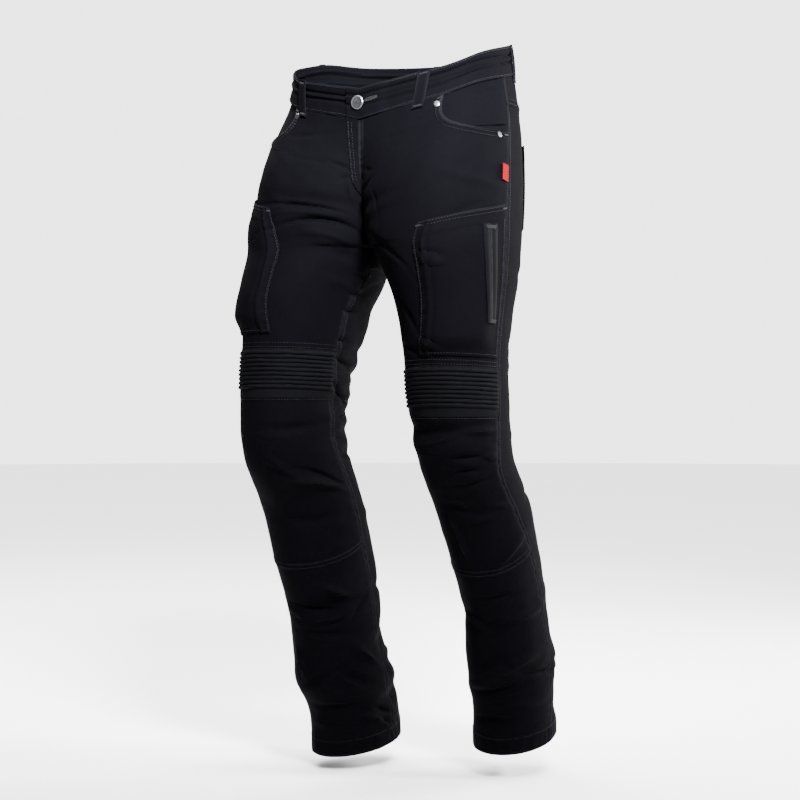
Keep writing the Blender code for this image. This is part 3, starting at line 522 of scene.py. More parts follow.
    def place(self, side: Side, turn: np.ndarray, level: np.ndarray, lift: np.ndarray) -> np.ndarray:
        """Points in the row frame, lifted off the creased face.

        Args:
            side: The wearer's side.
            turn: Place round the half, 0 at the front centre to 1 at the back centre.
            level: Way down from the waist, in metres.
            lift: Distance out of the face, in metres.

        Returns:
            An array of points with one more axis than turn.
        """
        points = self.folded(side, turn, level)
        points = points + self.normals(self.folded, side, turn, level) * lift[..., None]
        return points * (side.value, 1, 1)


FORM = Form()


def mouth_end(level: np.ndarray) -> np.ndarray:
    """Turn at which the front panel ends: the pocket mouth's curve, then the side seam."""
    down = np.clip((level - BAND_HEIGHT) / MOUTH_DEPTH, 0.0, 1.0)
    return 0.5 - (0.5 - MOUTH_TURN) * np.sqrt(1 - down**2)


def knee_seam(side: Side, turn: np.ndarray) -> np.ndarray:
    """Level of the curved seam under the knee panel."""
    return SEAMS[side].knee_end - KNEE_SEAM_RISE * (np.abs(turn - 0.24) / 0.25) ** 2.5


def yoke_seam(turn: np.ndarray) -> np.ndarray:
    """Level of the seam between the yoke and the back panel."""
    return YOKE_AT_SIDE + (YOKE_AT_BACK - YOKE_AT_SIDE) * (turn - 0.5) / 0.5


# Materials


def linear(hex_colour: str) -> tuple[float, float, float, float]:
    """Linear RGBA of an sRGB hex colour such as '1f2024'."""
    parts = [int(hex_colour[i : i + 2], 16) / 255 for i in (0, 2, 4)]
    turned = [c / 12.92 if c <= 0.04045 else ((c + 0.055) / 1.055) ** 2.4 for c in parts]
    return (*turned, 1.0)


def add_node(tree: bpy.types.NodeTree, kind: str, links: dict | None = None, **settings) -> bpy.types.Node:
    """A new node with its settings and inputs.

    Args:
        tree: The material's node tree.
        kind: The node's type name.
        links: Input name or number to an output socket, or to a plain value.
        settings: Attributes of the node.

    Returns:
        The node.
    """
    node = tree.nodes.new(kind)
    for name, value in settings.items():
        setattr(node, name, value)
    for name, value in (links or {}).items():
        if isinstance(value, bpy.types.NodeSocket):
            tree.links.new(value, node.inputs[name])
        else:
            node.inputs[name].default_value = value
    return node


def new_material(name: str) -> tuple[bpy.types.Material, bpy.types.NodeTree, bpy.types.Node]:
    """An empty node material, its tree and its Principled shader."""
    made = bpy.data.materials.new(name)
    made.use_nodes = True
    return made, made.node_tree, made.node_tree.nodes["Principled BSDF"]


Colour = tuple[float, float, float, float]


def colour_mix(
    tree: bpy.types.NodeTree,
    factor: bpy.types.NodeSocket,
    first: Colour | bpy.types.NodeSocket,
    second: Colour | bpy.types.NodeSocket,
) -> bpy.types.NodeSocket:
    """A blend of two colours.

    Args:
        tree: The material's node tree.
        factor: How much of the second shows.
        first: A colour, or a socket that gives one.
        second: The same.

    Returns:
        The socket that gives the blend.
    """
    mix = add_node(tree, "ShaderNodeMix", {0: factor}, data_type="RGBA")
    # A Mix node's colour inputs share names with its number inputs, so they are told by type.
    inputs = [socket for socket in mix.inputs if socket.type == "RGBA"]
    for socket, value in zip(inputs, (first, second)):
        if isinstance(value, bpy.types.NodeSocket):
            tree.links.new(value, socket)
        else:
            socket.default_value = value
    return mix.outputs[2]


def wave_scale(spacing_mm: float) -> float:
    """A wave texture's scale for lines this far apart on a pattern measured in metres."""
    return 2 * math.pi / 20 / (spacing_mm * MM)


def dull(shader: bpy.types.Node, roughness: float, specular: float, sheen: float) -> None:
    """Sets how a fibre surface takes light: roughness, share of mirror light, and lint at grazing angles."""
    shader.inputs["Roughness"].default_value = roughness
    shader.inputs["Specular IOR Level"].default_value = specular
    shader.inputs["Sheen Weight"].default_value = sheen
    shader.inputs["Sheen Roughness"].default_value = 0.4


@dataclass(frozen=True)
class StretchDenim:
    """Black sulphur-dyed stretch denim, 3/1 twill: deep black, matt, with a faint diagonal line, slubs, and
    lint that catches light at grazing angles. Real twill lines are 0.5 mm apart and are drawn 1.1 mm apart,
    so that they show close up."""

    name: str = "black_stretch_denim_twill"
    dark: str = "020203"
    light: str = "050407"
    # Colour that seam laps and edges are mixed towards: partly rubbed cloth, partly painted highlight.
    worn: str = "111115"
    line_mm: float = 1.1
    slub_mm: float = 9.0
    rough: float = 0.80
    specular: float = 0.008
    sheen: float = 0.001

    def build(self) -> bpy.types.Material:
        """The material's nodes."""
        made, tree, shader = new_material(self.name)
        uv = add_node(tree, "ShaderNodeUVMap", uv_map="cloth").outputs[0]
        turned = add_node(tree, "ShaderNodeMapping", {"Vector": uv, "Rotation": (0, 0, math.radians(62))})
        twill = add_node(
            tree, "ShaderNodeTexWave",
            {"Vector": turned.outputs[0], "Scale": wave_scale(self.line_mm), "Distortion": 1.2,
             "Detail": 1.0},
        )
        slub = add_node(
            tree, "ShaderNodeTexNoise",
            {"Vector": uv, "Scale": 1 / (self.slub_mm * MM), "Detail": 3.0, "Roughness": 0.65},
        )
        cloud = add_node(tree, "ShaderNodeTexNoise", {"Vector": uv, "Scale": 14.0, "Detail": 2.0})
        grain = add_node(
            tree, "ShaderNodeMath", {0: twill.outputs["Fac"], 1: slub.outputs["Fac"]}, operation="MULTIPLY"
        ).outputs[0]
        # Seam laps, edges and hems are drawn a little lighter than the dye: partly rubbed cloth, partly
        # painted highlight on the seam ridges.
        wear_and_highlight = add_node(tree, "ShaderNodeAttribute", attribute_name="wear_and_highlight")
        rub_and_highlight = add_node(
            tree, "ShaderNodeMath", {0: wear_and_highlight.outputs["Fac"], 1: cloud.outputs["Fac"]}, operation="MULTIPLY"
        ).outputs[0]
        dyed = colour_mix(tree, grain, linear(self.dark), linear(self.light))
        tree.links.new(colour_mix(tree, rub_and_highlight, dyed, linear(self.worn)), shader.inputs["Base Color"])
        bump = add_node(tree, "ShaderNodeBump", {"Height": grain, "Strength": 0.35, "Distance": 0.25 * MM})
        tree.links.new(bump.outputs[0], shader.inputs["Normal"])
        dull(shader, self.rough, self.specular, self.sheen)
        return made


@dataclass(frozen=True)
class RibbedCloth:
    """A woven or knitted cloth with straight ribs along or across it, which show as fine relief."""

    name: str
    dark: str
    light: str
    rib_mm: float
    along: str
    rough: float
    sheen: float = 0.001

    def build(self) -> bpy.types.Material:
        """The material's nodes."""
        made, tree, shader = new_material(self.name)
        uv = add_node(tree, "ShaderNodeUVMap", uv_map="cloth").outputs[0]
        ribs = add_node(
            tree, "ShaderNodeTexWave",
            {"Vector": uv, "Scale": wave_scale(self.rib_mm), "Distortion": 0.3}, bands_direction=self.along,
        ).outputs["Fac"]
        colour = colour_mix(tree, ribs, linear(self.dark), linear(self.light))
        tree.links.new(colour, shader.inputs["Base Color"])
        bump = add_node(tree, "ShaderNodeBump", {"Height": ribs, "Strength": 0.3, "Distance": 0.2 * MM})
        tree.links.new(bump.outputs[0], shader.inputs["Normal"])
        dull(shader, self.rough, 0.01, self.sheen)
        return made


# Black polyester and elastane rib cloth: matt, with fine lengthwise wales, drawn 1.5 mm apart.
ELASTIC_RIB = RibbedCloth("black_elastic_rib_cloth", "030304", "070709", 1.5, "X", 0.80)
# Woven polyester zip tape over a covered coil: cross ribs, a little smoother than the denim.
WOVEN_TAPE = RibbedCloth("black_woven_zip_tape", "020203", "060608", 1.6, "Y", 0.65)
# Damask-woven polyester label, plain red: fine cross ribs.
RED_WOVEN = RibbedCloth("red_woven_label", "430105", "500207", 0.9, "Y", 0.6)


@dataclass(frozen=True)
class SpeckledFinish:
    """A finish whose colour and roughness vary in fine specks over the piece."""

    name: str
    dark: str
    light: str
    specks_mm: float
    smooth: float
    rough: float
    metallic: float = 0.0
    specular: float = 0.1

    def build(self) -> bpy.types.Material:
        """The material's nodes."""
        made, tree, shader = new_material(self.name)
        place = add_node(tree, "ShaderNodeTexCoord")
        specks = add_node(
            tree, "ShaderNodeTexNoise",
            {"Vector": place.outputs["Object"], "Scale": 1 / (self.specks_mm * MM), "Detail": 2.0},
        ).outputs["Fac"]
        colour = colour_mix(tree, specks, linear(self.dark), linear(self.light))
        tree.links.new(colour, shader.inputs["Base Color"])
        limits = {"To Min": self.smooth, "To Max": self.rough}
        rough = add_node(tree, "ShaderNodeMapRange", {0: specks, **limits})
        tree.links.new(rough.outputs[0], shader.inputs["Roughness"])
        shader.inputs["Metallic"].default_value = self.metallic
        shader.inputs["Specular IOR Level"].default_value = self.specular
        return made


# Spun polyester topstitching thread, tone on tone: lighter and glossier than the denim.
SPUN_THREAD = SpeckledFinish("black_topstitch_thread", "060608", "101013", 6.0, 0.6, 0.75)
# Matt studio paint, almost white.
PALE_FLOOR = SpeckledFinish("pale_studio_floor", "f6f6f7", "fafafb", 500.0, 0.85, 0.9)
# Nickel-plated zinc, die-cast and tumbled: satin, duller in its low places.
TUMBLED_NICKEL = SpeckledFinish("tumbled_nickel_plate", "39393d", "77777c", 2.4, 0.25, 0.48, 1.0, 0.5)


@dataclass(frozen=True)
class Cloth:
    """A material with the record's slot that it belongs to."""

    material: bpy.types.Material
    slot: Finish


@dataclass
class Wardrobe:
    """Every finish, built once."""

    denim: Cloth = field(default_factory=lambda: Cloth(StretchDenim().build(), Finish.DENIM))
    rib: Cloth = field(default_factory=lambda: Cloth(ELASTIC_RIB.build(), Finish.RIB))
    thread: Cloth = field(default_factory=lambda: Cloth(SPUN_THREAD.build(), Finish.DENIM))
    tape: Cloth = field(default_factory=lambda: Cloth(WOVEN_TAPE.build(), Finish.TAPE))
    nickel: Cloth = field(default_factory=lambda: Cloth(TUMBLED_NICKEL.build(), Finish.NICKEL))
    label: Cloth = field(default_factory=lambda: Cloth(RED_WOVEN.build(), Finish.LABEL))


# Cloth shells


def graded(
    length: float, coarse: float = 3.5 * MM, fine: float = 1.3 * MM, edge: float = 11 * MM
) -> np.ndarray:
    """Fractions from 0 to 1 along a length, closer together near both ends, where the seams lie.

    Args:
        length: The length, in metres.
        coarse: Spacing in the middle.
        fine: Spacing near the ends.
        edge: How far from each end the fine spacing goes.

    Returns:
        The fractions, rising.
    """
    edge = min(edge, length * 0.3)
    near = np.linspace(0.0, edge, max(2, round(edge / fine) + 1))
    middle = np.linspace(edge, length - edge, max(2, round((length - 2 * edge) / coarse) + 1))
    return np.concatenate([near, middle[1:-1], length - near[::-1]]) / length


def run_lengths(points: np.ndarray, axis: int) -> np.ndarray:
    """Length along a grid of points from its first row or column to each point.

    Args:
        points: Rows by columns by 3.
        axis: 0 to measure down the columns, 1 across the rows.

    Returns:
        Rows by columns, in metres.
    """
    steps = np.linalg.norm(np.diff(points, axis=axis), axis=-1)
    start = np.zeros_like(np.take(steps, [0], axis=axis))
    return np.concatenate([start, np.cumsum(steps, axis=axis)], axis=axis)


@dataclass
class Grid:
    """A patch of the form as rows down and columns across, with the distances to its four edges."""

    side: Side
    turn: np.ndarray
    level: np.ndarray

    def __post_init__(self) -> None:
        """Measures the patch on the smooth form."""
        points = FORM.smooth(self.side, self.turn, self.level)
        self.across = run_lengths(points, 1)
        self.down = run_lengths(points, 0)
        self.from_start = self.across
        self.from_end = self.across[:, -1:] - self.across
        self.from_top = self.down
        self.from_bottom = self.down[-1:, :] - self.down


def pucker(
    along: np.ndarray, from_edge: np.ndarray, pitch: float, height: float, reach: float
) -> np.ndarray:
    """Small ripples that the stitching draws up along an edge, uneven in pitch and height.

    Args:
        along: Length along the edge.
        from_edge: Distance from the edge.
        pitch: Middle distance from one ripple to the next.
        height: Greatest height.
        reach: How far from the edge they fade.

    Returns:
        Height at each place.
    """
    phase = 2 * math.pi * along / pitch
    uneven = 0.6 + 0.4 * np.sin(phase * 0.37 + 1.3) * np.sin(phase * 0.11)
    wave = np.sin(phase + 1.7 * np.sin(phase * 0.23))
    return height * uneven * wave * hump(from_edge, reach)


def lap(from_edge: np.ndarray, width: float, height: float) -> np.ndarray:
    """The raised band of a turned-under or lapped edge."""
    return height * (1 - ramp(from_edge, width - 1.2 * MM, width + 1.2 * MM))


def grid_mesh(name: str, points: np.ndarray, uv: np.ndarray, wear_and_highlight: np.ndarray) -> bpy.types.Object:
    """A sheet object from a grid of points.

    Args:
        name: The object's name.
        points: Rows by columns by 3, facing out of the cloth when turn grows with the columns on the left.
        uv: Rows by columns by 2, in metres of cloth.
        wear_and_highlight: Rows by columns, 0 fresh to 1 lightest: partly rubbing, partly painted highlight.

    Returns:
        The object, one layer thick.
    """
    rows, columns = points.shape[:2]
    mesh = bpy.data.meshes.new(name)
    index = np.arange(rows * columns).reshape(rows, columns)
    corners = [index[:-1, :-1], index[1:, :-1], index[1:, 1:], index[:-1, 1:]]
    quads = np.stack(corners, axis=-1).reshape(-1, 4)
    mesh.from_pydata(points.reshape(-1, 3).tolist(), [], quads.tolist())
    layer = mesh.uv_layers.new(name="cloth")
    loops = np.empty(len(mesh.loops), np.int32)
    mesh.loops.foreach_get("vertex_index", loops)
    layer.data.foreach_set("uv", uv.reshape(-1, 2)[loops].astype(np.float32).ravel())
    mark = mesh.attributes.new("wear_and_highlight", "FLOAT", "POINT")
    mark.data.foreach_set("value", wear_and_highlight.reshape(-1).astype(np.float32))
    made = bpy.data.objects.new(name, mesh)
    bpy.context.scene.collection.objects.link(made)
    return made


def select_only(piece: bpy.types.Object) -> None:
    """Makes one object the selected and active one."""
    bpy.ops.object.select_all(action="DESELECT")
    piece.select_set(True)
    bpy.context.view_layer.objects.active = piece


def thicken(piece: bpy.types.Object, cloth: float) -> None:
    """Gives a sheet its thickness inwards and applies it."""
    select_only(piece)
    solid = piece.modifiers.new("cloth", "SOLIDIFY")
    solid.thickness = cloth
    solid.offset = -1.0
    bpy.ops.object.modifier_apply(modifier=solid.name)
    bpy.ops.object.shade_smooth_by_angle(angle=SHARP_ANGLE)


def dress(piece: bpy.types.Object, finish: Cloth, *nodes: str) -> bpy.types.Object:
    """Gives a finished piece its material and body, and hides the solids it stands for.

    Args:
        piece: The piece.
        finish: Its finish.
        *nodes: The solids it stands for, none for a piece that is added.

    Returns:
        The same piece.
    """
    piece.data.materials.clear()
    piece.data.materials.append(finish.material)
    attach(piece, "root")
    if nodes:
        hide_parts(*nodes)
    log.info("%s: %d faces", piece.name, len(piece.data.polygons))
    return piece


def cloth_piece(
    node: str,
    grid: Grid,
    lift: np.ndarray,
    finish: Cloth,
    wear_and_highlight: np.ndarray | None = None,
    cloth: float = SHELL,
    ending: str = "cloth",
) -> bpy.types.Object:
    """A cloth shell from its grid, with its thickness and finish.

    Args:
        node: The solid it stands for.
        grid: Its patch of the form.
        lift: Height of its face over the creased form, rows by columns.
        finish: Its finish.
        wear_and_highlight: Places drawn lighter, 0 to 1: partly rubbing, partly painted highlight.
        cloth: Its thickness.
        ending: What the piece's name adds to the node's.

    Returns:
        The finished piece.
    """
    points = FORM.place(grid.side, grid.turn, grid.level, lift)
    if grid.side is Side.RIGHT:
        points = points[:, ::-1]
    uv = np.stack([grid.across, -grid.down], axis=-1)
    marks = np.zeros_like(lift) if wear_and_highlight is None else wear_and_highlight
    if grid.side is Side.RIGHT:
        uv, marks = uv[:, ::-1], marks[:, ::-1]
    piece = grid_mesh(f"{node}_{ending}", points, uv, marks)
    thicken(piece, cloth)
    dress(piece, finish, node)
    return piece


def panel_grid(
    side: Side,
    start: float,
    end: Callable[[np.ndarray], np.ndarray] | float,
    top: Callable[[np.ndarray], np.ndarray] | float,
    bottom: Callable[[np.ndarray], np.ndarray] | float,
    width: float,
    row_parts: np.ndarray,
) -> Grid:
    """A panel's grid between two turns and two levels, tucked under its neighbours all round.

    Args:
        side: The leg.
        start: Turn of its first edge.
        end: Turn of its last edge, or that as a function of level.
        top: Level of its upper edge, or that as a function of turn.
        bottom: Level of its lower edge, or that as a function of turn.
        width: About how wide it is, in metres, for the spacing of the columns.
        row_parts: Fractions from 0 to 1 where its rows lie.

    Returns:
        The grid.
    """
    inset = -SEAM_TUCK / TURN_LENGTH
    column_parts = graded(width)
    nominal_top = top(np.array([0.24]))[0] if callable(top) else top
    nominal_bottom = bottom(np.array([0.24]))[0] if callable(bottom) else bottom
    row_levels = nominal_top + row_parts * (nominal_bottom - nominal_top)
    ends = end(row_levels) if callable(end) else np.full_like(row_levels, end)
    turn = start + inset + column_parts[None, :] * (ends[:, None] - start - 2 * inset)
    tops = top(turn) if callable(top) else np.full_like(turn, top)
    bottoms = bottom(turn) if callable(bottom) else np.full_like(turn, bottom)
    tops = tops - SEAM_TUCK
    bottoms = bottoms + SEAM_TUCK
    level = tops + row_parts[:, None] * (bottoms - tops)
    return Grid(side, turn, level)


def cloth_life(grid: Grid, seed: float) -> np.ndarray:
    """Slow, shallow unevenness of hanging cloth, so that no stretch is dead smooth."""
    u, v = grid.across, grid.down
    return (
        0.45 * MM * np.sin(u * 61 + 2.1 * np.sin(v * 23 + seed)) * np.sin(v * 47 + seed * 1.7)
        + 0.30 * MM * np.sin(u * 113 + v * 71 + seed * 2.3) * np.sin(v * 83 - u * 37 + seed)
    )


@dataclass
class LegPanels:
    """The panels of one leg: front, knee ribs, knee panel, shin, yoke and back."""

    side: Side
    wardrobe: Wardrobe
    rib_count: int = 9
    rib_pitch: float = 6.1 * MM
    rib_height: float = 3.3 * MM
    lap_width: float = 9 * MM
    lap_height: float = 1.1 * MM

    def build(self) -> None:
        """Builds all the panels of the leg."""
        self.front()
        self.knee_rib()
        self.knee_panel()
        self.shin()
        self.yoke()
        self.back()

    def edges(self, grid: Grid, seed: float, hem: bool = False) -> tuple[np.ndarray, np.ndarray]:
        """Lift of a panel from its seams (laps, ripples and cloth life), and its lighter marks, partly
        rubbing and partly painted highlight.
        """
        beside = np.minimum(grid.from_start, grid.from_end)
        lift = cloth_life(grid, seed) * ramp(beside, 0.0, 0.02)
        lift = lift - 0.8 * MM * hump(beside, 1.6 * MM)
        lift += pucker(grid.down, grid.from_start, 13 * MM, 0.7 * MM, 12 * MM)
        lift += pucker(grid.down + 0.004, grid.from_end, 15 * MM, 0.7 * MM, 12 * MM)
        ends = np.minimum(grid.from_top, grid.from_bottom if not hem else 1.0)
        lift -= 0.7 * MM * hump(ends, 1.6 * MM)
        # A lighter band along the seam laps: painted highlight on the lap ridge, partly rubbing.
        wear_and_highlight = 0.5 * hump(beside - 3 * MM, 2.5 * MM)
        if hem:
            level_from_hem = grid.from_bottom
            lift += 0.7 * MM * (1 - ramp(level_from_hem, HEM_BAND - 1 * MM, HEM_BAND + 1 * MM))
            roping = pucker(grid.across, np.abs(level_from_hem - 0.012), 16 * MM, 0.8 * MM, 14 * MM)
            lift += roping
            # A lighter line at the hem's fold: painted highlight, partly rubbing.
            wear_and_highlight += 0.7 * hump(level_from_hem, 3 * MM)
        return lift, np.clip(wear_and_highlight, 0, 1)

    def front(self) -> None:
        """The upper front, cut away at the pocket mouth."""
        seams = SEAMS[self.side]
        height = seams.rib_top - BAND_HEIGHT
        mouth = graded(MOUTH_DEPTH, FINE_ROWS) * MOUTH_DEPTH / height
        rest = 1 - mouth[-1]
        rows = np.concatenate([mouth, mouth[-1] + rest * graded(height - MOUTH_DEPTH, FINE_ROWS)[1:]])
        grid = panel_grid(self.side, 0.0, mouth_end, BAND_HEIGHT, seams.rib_top, 0.33, rows)
        lift, wear_and_highlight = self.edges(grid, 0.7)
        at_mouth = 1 - ramp(grid.level, BAND_HEIGHT + MOUTH_DEPTH, BAND_HEIGHT + MOUTH_DEPTH + 0.004)
        lift += at_mouth * (lap(grid.from_end, 11 * MM, 0.9 * MM) + 0.8 * MM * hump(grid.from_end, 1.6 * MM))
        # A lighter line along the pocket mouth's edge: painted highlight, partly rubbing.
        wear_and_highlight = np.clip(wear_and_highlight + 0.6 * at_mouth * hump(grid.from_end, 0.002), 0, 1)
        name = f"front_panel_{self.side.word}"
        cloth_piece(name, grid, lift, self.wardrobe.denim, wear_and_highlight)

    def knee_rib(self) -> None:
        """The accordion rib panel: rounded ribs between sewn grooves."""
        seams = SEAMS[self.side]
        rows = np.linspace(0.0, 1.0, 92)
        grid = panel_grid(self.side, 0.0, 0.5, seams.rib_top, seams.rib_end, 0.24, rows)
        first = 3 * MM
        phase = (grid.down - first) / self.rib_pitch
        inside = (phase > 0) & (phase < self.rib_count)
        wobble = 0.10 * np.sin(grid.across * 90 + phase) + 0.06 * np.sin(grid.across * 231 + 2 * phase)
        crown = np.abs(np.sin(math.pi * (phase + wobble * 0.3))) ** 0.55
        beside = np.minimum(grid.from_start, grid.from_end)
        fade = 0.2 + 0.8 * ramp(beside, 0.0, 0.010)
        lift = np.where(inside, self.rib_height * crown * (1 + wobble), 0.4 * MM) * fade
        lift += pucker(grid.across, np.zeros_like(grid.across), 11 * MM, 0.25 * MM, 1.0)
        name = f"knee_rib_{self.side.word}"
        # The rib crowns are marked lighter: painted highlight on their tops, partly rubbing.
        wear_and_highlight = np.where(inside, 0.35 * crown**6, 0.1)
        cloth_piece(name, grid, lift, self.wardrobe.rib, wear_and_highlight)

    def knee_panel(self) -> None:
        """The protector panel under the ribs."""
        seams = SEAMS[self.side]
        rows = graded(seams.knee_end - seams.rib_end, FINE_ROWS)
        grid = panel_grid(
            self.side, 0.0, 0.5, seams.rib_end, lambda turn: knee_seam(self.side, turn), 0.24, rows
        )
        lift, wear_and_highlight = self.edges(grid, 1.9)
        lift += lap(grid.from_bottom, self.lap_width, self.lap_height)
        name = f"knee_panel_{self.side.word}"
        cloth_piece(name, grid, lift, self.wardrobe.denim, wear_and_highlight)

    def shin(self) -> None:
        """The lower front, down to the hem."""
        seams = SEAMS[self.side]
        rows = graded(seams.hem - seams.knee_end, FINE_ROWS)
        grid = panel_grid(
            self.side, 0.0, 0.5, lambda turn: knee_seam(self.side, turn), seams.hem, 0.23, rows
        )
        lift, wear_and_highlight = self.edges(grid, 3.1, hem=True)
        name = f"shin_panel_{self.side.word}"
        cloth_piece(name, grid, lift, self.wardrobe.denim, wear_and_highlight)

    def yoke(self) -> None:
        """The yoke under the band at the back."""
        rows = graded(YOKE_AT_BACK - BAND_HEIGHT)
        grid = panel_grid(self.side, 0.5, 1.0, BAND_HEIGHT, yoke_seam, 0.27, rows)
        lift, wear_and_highlight = self.edges(grid, 4.4)
        lift += lap(grid.from_bottom, self.lap_width, self.lap_height)
        name = f"yoke_{self.side.word}"
        cloth_piece(name, grid, lift, self.wardrobe.denim, wear_and_highlight)

    def back(self) -> None:
        """The long back panel, yoke to hem."""
        seams = SEAMS[self.side]
        rows = graded(seams.hem - YOKE_AT_SIDE)
        grid = panel_grid(self.side, 0.5, 1.0, yoke_seam, seams.hem, 0.28, rows)
        lift, wear_and_highlight = self.edges(grid, 5.3, hem=True)
        name = f"back_panel_{self.side.word}"
        cloth_piece(name, grid, lift, self.wardrobe.denim, wear_and_highlight)


# Pockets


@dataclass
class CargoPocket:
    """The bellows pocket on the thigh, with its zip welt."""

    side: Side
    wardrobe: Wardrobe
    turns: tuple[float, float] = (0.287, 0.488)
    sweep: float = -0.077
    height: float = 0.186
    top_rise: float = 0.030
    bulge: float = 9 * MM
    zip_turns: tuple[float, float] = (0.425, 0.462)
    zip_length: float = 0.140

    @property
    def top(self) -> float:
        """Level of the pocket's front top corner."""
        return 0.262 if self.side is Side.LEFT else 0.229

    def stand_off(self, turn: np.ndarray, level: np.ndarray) -> np.ndarray:
        """How far the pocket's inner face stands off the leg."""
        down = (level - self.top) / self.height
        start = self.turns[0] + self.sweep * np.clip(down, 0.0, 1.0)
        across = (turn - start) / (self.turns[1] - start)
        full = ramp(across, 0.0, 0.16) * ramp(1 - across, 0.0, 0.30) * ramp(down, -0.1, 0.25)
        full = full * ramp(1 - down, 0.0, 0.14)
        return 0.9 * MM + self.bulge * full * (0.75 + 0.25 * np.sin(7 * down + 3 * across))

    def spots(self, across: np.ndarray, down: np.ndarray) -> tuple[np.ndarray, np.ndarray]:
        """Turns and levels of places on the pocket, 0 to 1 from its front edge and from its top."""
        starts = self.turns[0] + self.sweep * down
        tops = self.top - self.top_rise * across
        return starts + across * (self.turns[1] - starts), tops + down * (self.top + self.height - tops)

    def build(self) -> None:
        """Builds the pocket and its welt."""
        turn, level = self.spots(graded(0.14)[None, :], graded(self.height, FINE_ROWS)[:, None])
        grid = Grid(self.side, turn, level)
        beside = np.minimum(grid.from_start, grid.from_end)
        lift = self.stand_off(turn, level) + 1.4 * MM
        lift += lap(grid.from_top, 22 * MM, 0.9 * MM) + cloth_life(grid, 8.8) * ramp(beside, 0, 0.01)
        lift += pucker(grid.down, beside, 12 * MM, 0.8 * MM, 10 * MM)
        # The bellows' edge stands as a ridge, with a fold behind it.
        lift += 1.4 * MM * hump(grid.from_start - 13 * MM, 2.4 * MM)
        lift -= 1.8 * MM * hump(grid.from_start - 19 * MM, 2.6 * MM)
        # Lighter lines along the pocket's edges and top: painted highlight, partly rubbing.
        wear_and_highlight = 0.6 * hump(np.minimum(beside, grid.from_top), 2 * MM)
        name = f"cargo_pocket_{self.side.word}"
        cloth_piece(name, grid, lift, self.wardrobe.denim, wear_and_highlight)
        self.welt()

    def welt(self) -> None:
        """The closed zip: two welt lips over a covered coil."""
        length = self.zip_length
        rows = graded(length, coarse=2.5 * MM)
        columns = np.linspace(0, 1, 15)
        turns = self.zip_turns[0] + columns * (self.zip_turns[1] - self.zip_turns[0])
        level = self.top + rows[:, None] * length + 0 * columns[None, :]
        turn = np.repeat(turns[None, :], len(rows), axis=0)
        grid = Grid(self.side, turn, level)
        middle = np.abs(columns - 0.5)[None, :]
        lips = 0.8 * MM * hump(middle - 0.30, 0.14) - 0.5 * MM * hump(middle, 0.08)
        lift = self.stand_off(turn, level) + 1.4 * MM + 1.6 * MM + lips
        name = f"cargo_zip_{self.side.word}"
        cloth_piece(name, grid, lift, self.wardrobe.tape, cloth=FINE_SHELL, ending="tape")


@dataclass
class SmallPockets:
    """Hip facings, the coin pocket and the back pockets."""

    wardrobe: Wardrobe
    drop: float = CLOTH + 1.1 * MM
    back_turns: tuple[float, float] = (0.605, 0.860)
    back_top: float = 0.142
    back_height: float = 0.135
    back_point: float = 18 * MM

    def build(self) -> None:
        """Builds them on both sides."""
        for side in Side:
            self.facing(side)
            self.back_pocket(side)
        self.coin_pocket()

    def facing(self, side: Side) -> None:
        """The cloth inside the front pocket mouth."""
        rows = graded(MOUTH_DEPTH * 1.12)
        columns = graded(0.10)
        levels = BAND_HEIGHT + SEAM_GAP + rows * MOUTH_DEPTH * 1.12
        starts = np.minimum(mouth_end(levels), 0.470) - 0.022
        end = 0.5 - SEAM_GAP / TURN_LENGTH
        turn = starts[:, None] + columns[None, :] * (end - starts[:, None])
        grid = Grid(side, turn, np.repeat(levels[:, None], len(columns), axis=1))
        # It rises to the side seam, where it is sewn in flush with the back panel.
        lift = -self.drop + (self.drop - 0.4 * MM) * ramp(0.03 - grid.from_end, 0.0, 0.03)
        name = f"hip_facing_{side.word}"
        cloth_piece(name, grid, lift, self.wardrobe.denim, cloth=FINE_SHELL)

    def coin_pocket(self) -> None:
        """The small pocket on the left facing."""
        rows = graded(MOUTH_DEPTH * 0.66)
        columns = graded(0.09)
        levels = BAND_HEIGHT + 0.016 + rows * (MOUTH_DEPTH * 0.86 - 0.016)
        starts = np.maximum(mouth_end(levels) + 0.008, 0.285)
        turn = starts[:, None] + columns[None, :] * (0.486 - starts[:, None])
        grid = Grid(Side.LEFT, turn, np.repeat(levels[:, None], len(columns), axis=1))
        rise = (self.drop - 0.4 * MM) * ramp(0.03 + 0.008 - grid.from_end, 0.0, 0.03)
        lift = -self.drop + rise + 1.5 * MM + lap(grid.from_top, 10 * MM, 0.5 * MM)
        cloth_piece("coin_pocket", grid, lift, self.wardrobe.denim, cloth=FINE_SHELL)

    def back_spots(self, across: np.ndarray, down: np.ndarray) -> tuple[np.ndarray, np.ndarray]:
        """Turns and levels of places on a back pocket, 0 to 1 from its outer edge and from its top."""
        middle = sum(self.back_turns) / 2
        half = (self.back_turns[1] - self.back_turns[0]) / 2
        away = (2 * across - 1) * half
        ends = self.back_top + self.back_height - self.back_point * np.abs(away) / half
        return middle + away * (1 - 0.10 * down), self.back_top + down * (ends - self.back_top)

    def back_pocket(self, side: Side) -> None:
        """A patch pocket on the seat."""
        rows = graded(self.back_height)
        columns = graded(0.145)
        turn, level = self.back_spots(columns[None, :], rows[:, None])
        grid = Grid(side, turn, level)
        beside = np.minimum(np.minimum(grid.from_start, grid.from_end), grid.from_bottom)
        lift = 2.3 * MM + lap(grid.from_top, 24 * MM, 0.7 * MM) + lap(beside, 8 * MM, 0.5 * MM)
        lift += cloth_life(grid, 6.2) * ramp(beside, 0, 0.02)
        # Lighter lines along the pocket's edges and top: painted highlight, partly rubbing.
        wear_and_highlight = 0.6 * hump(np.minimum(beside, grid.from_top), 2 * MM)
        name = f"back_pocket_{side.word}"
        cloth_piece(name, grid, lift, self.wardrobe.denim, wear_and_highlight)


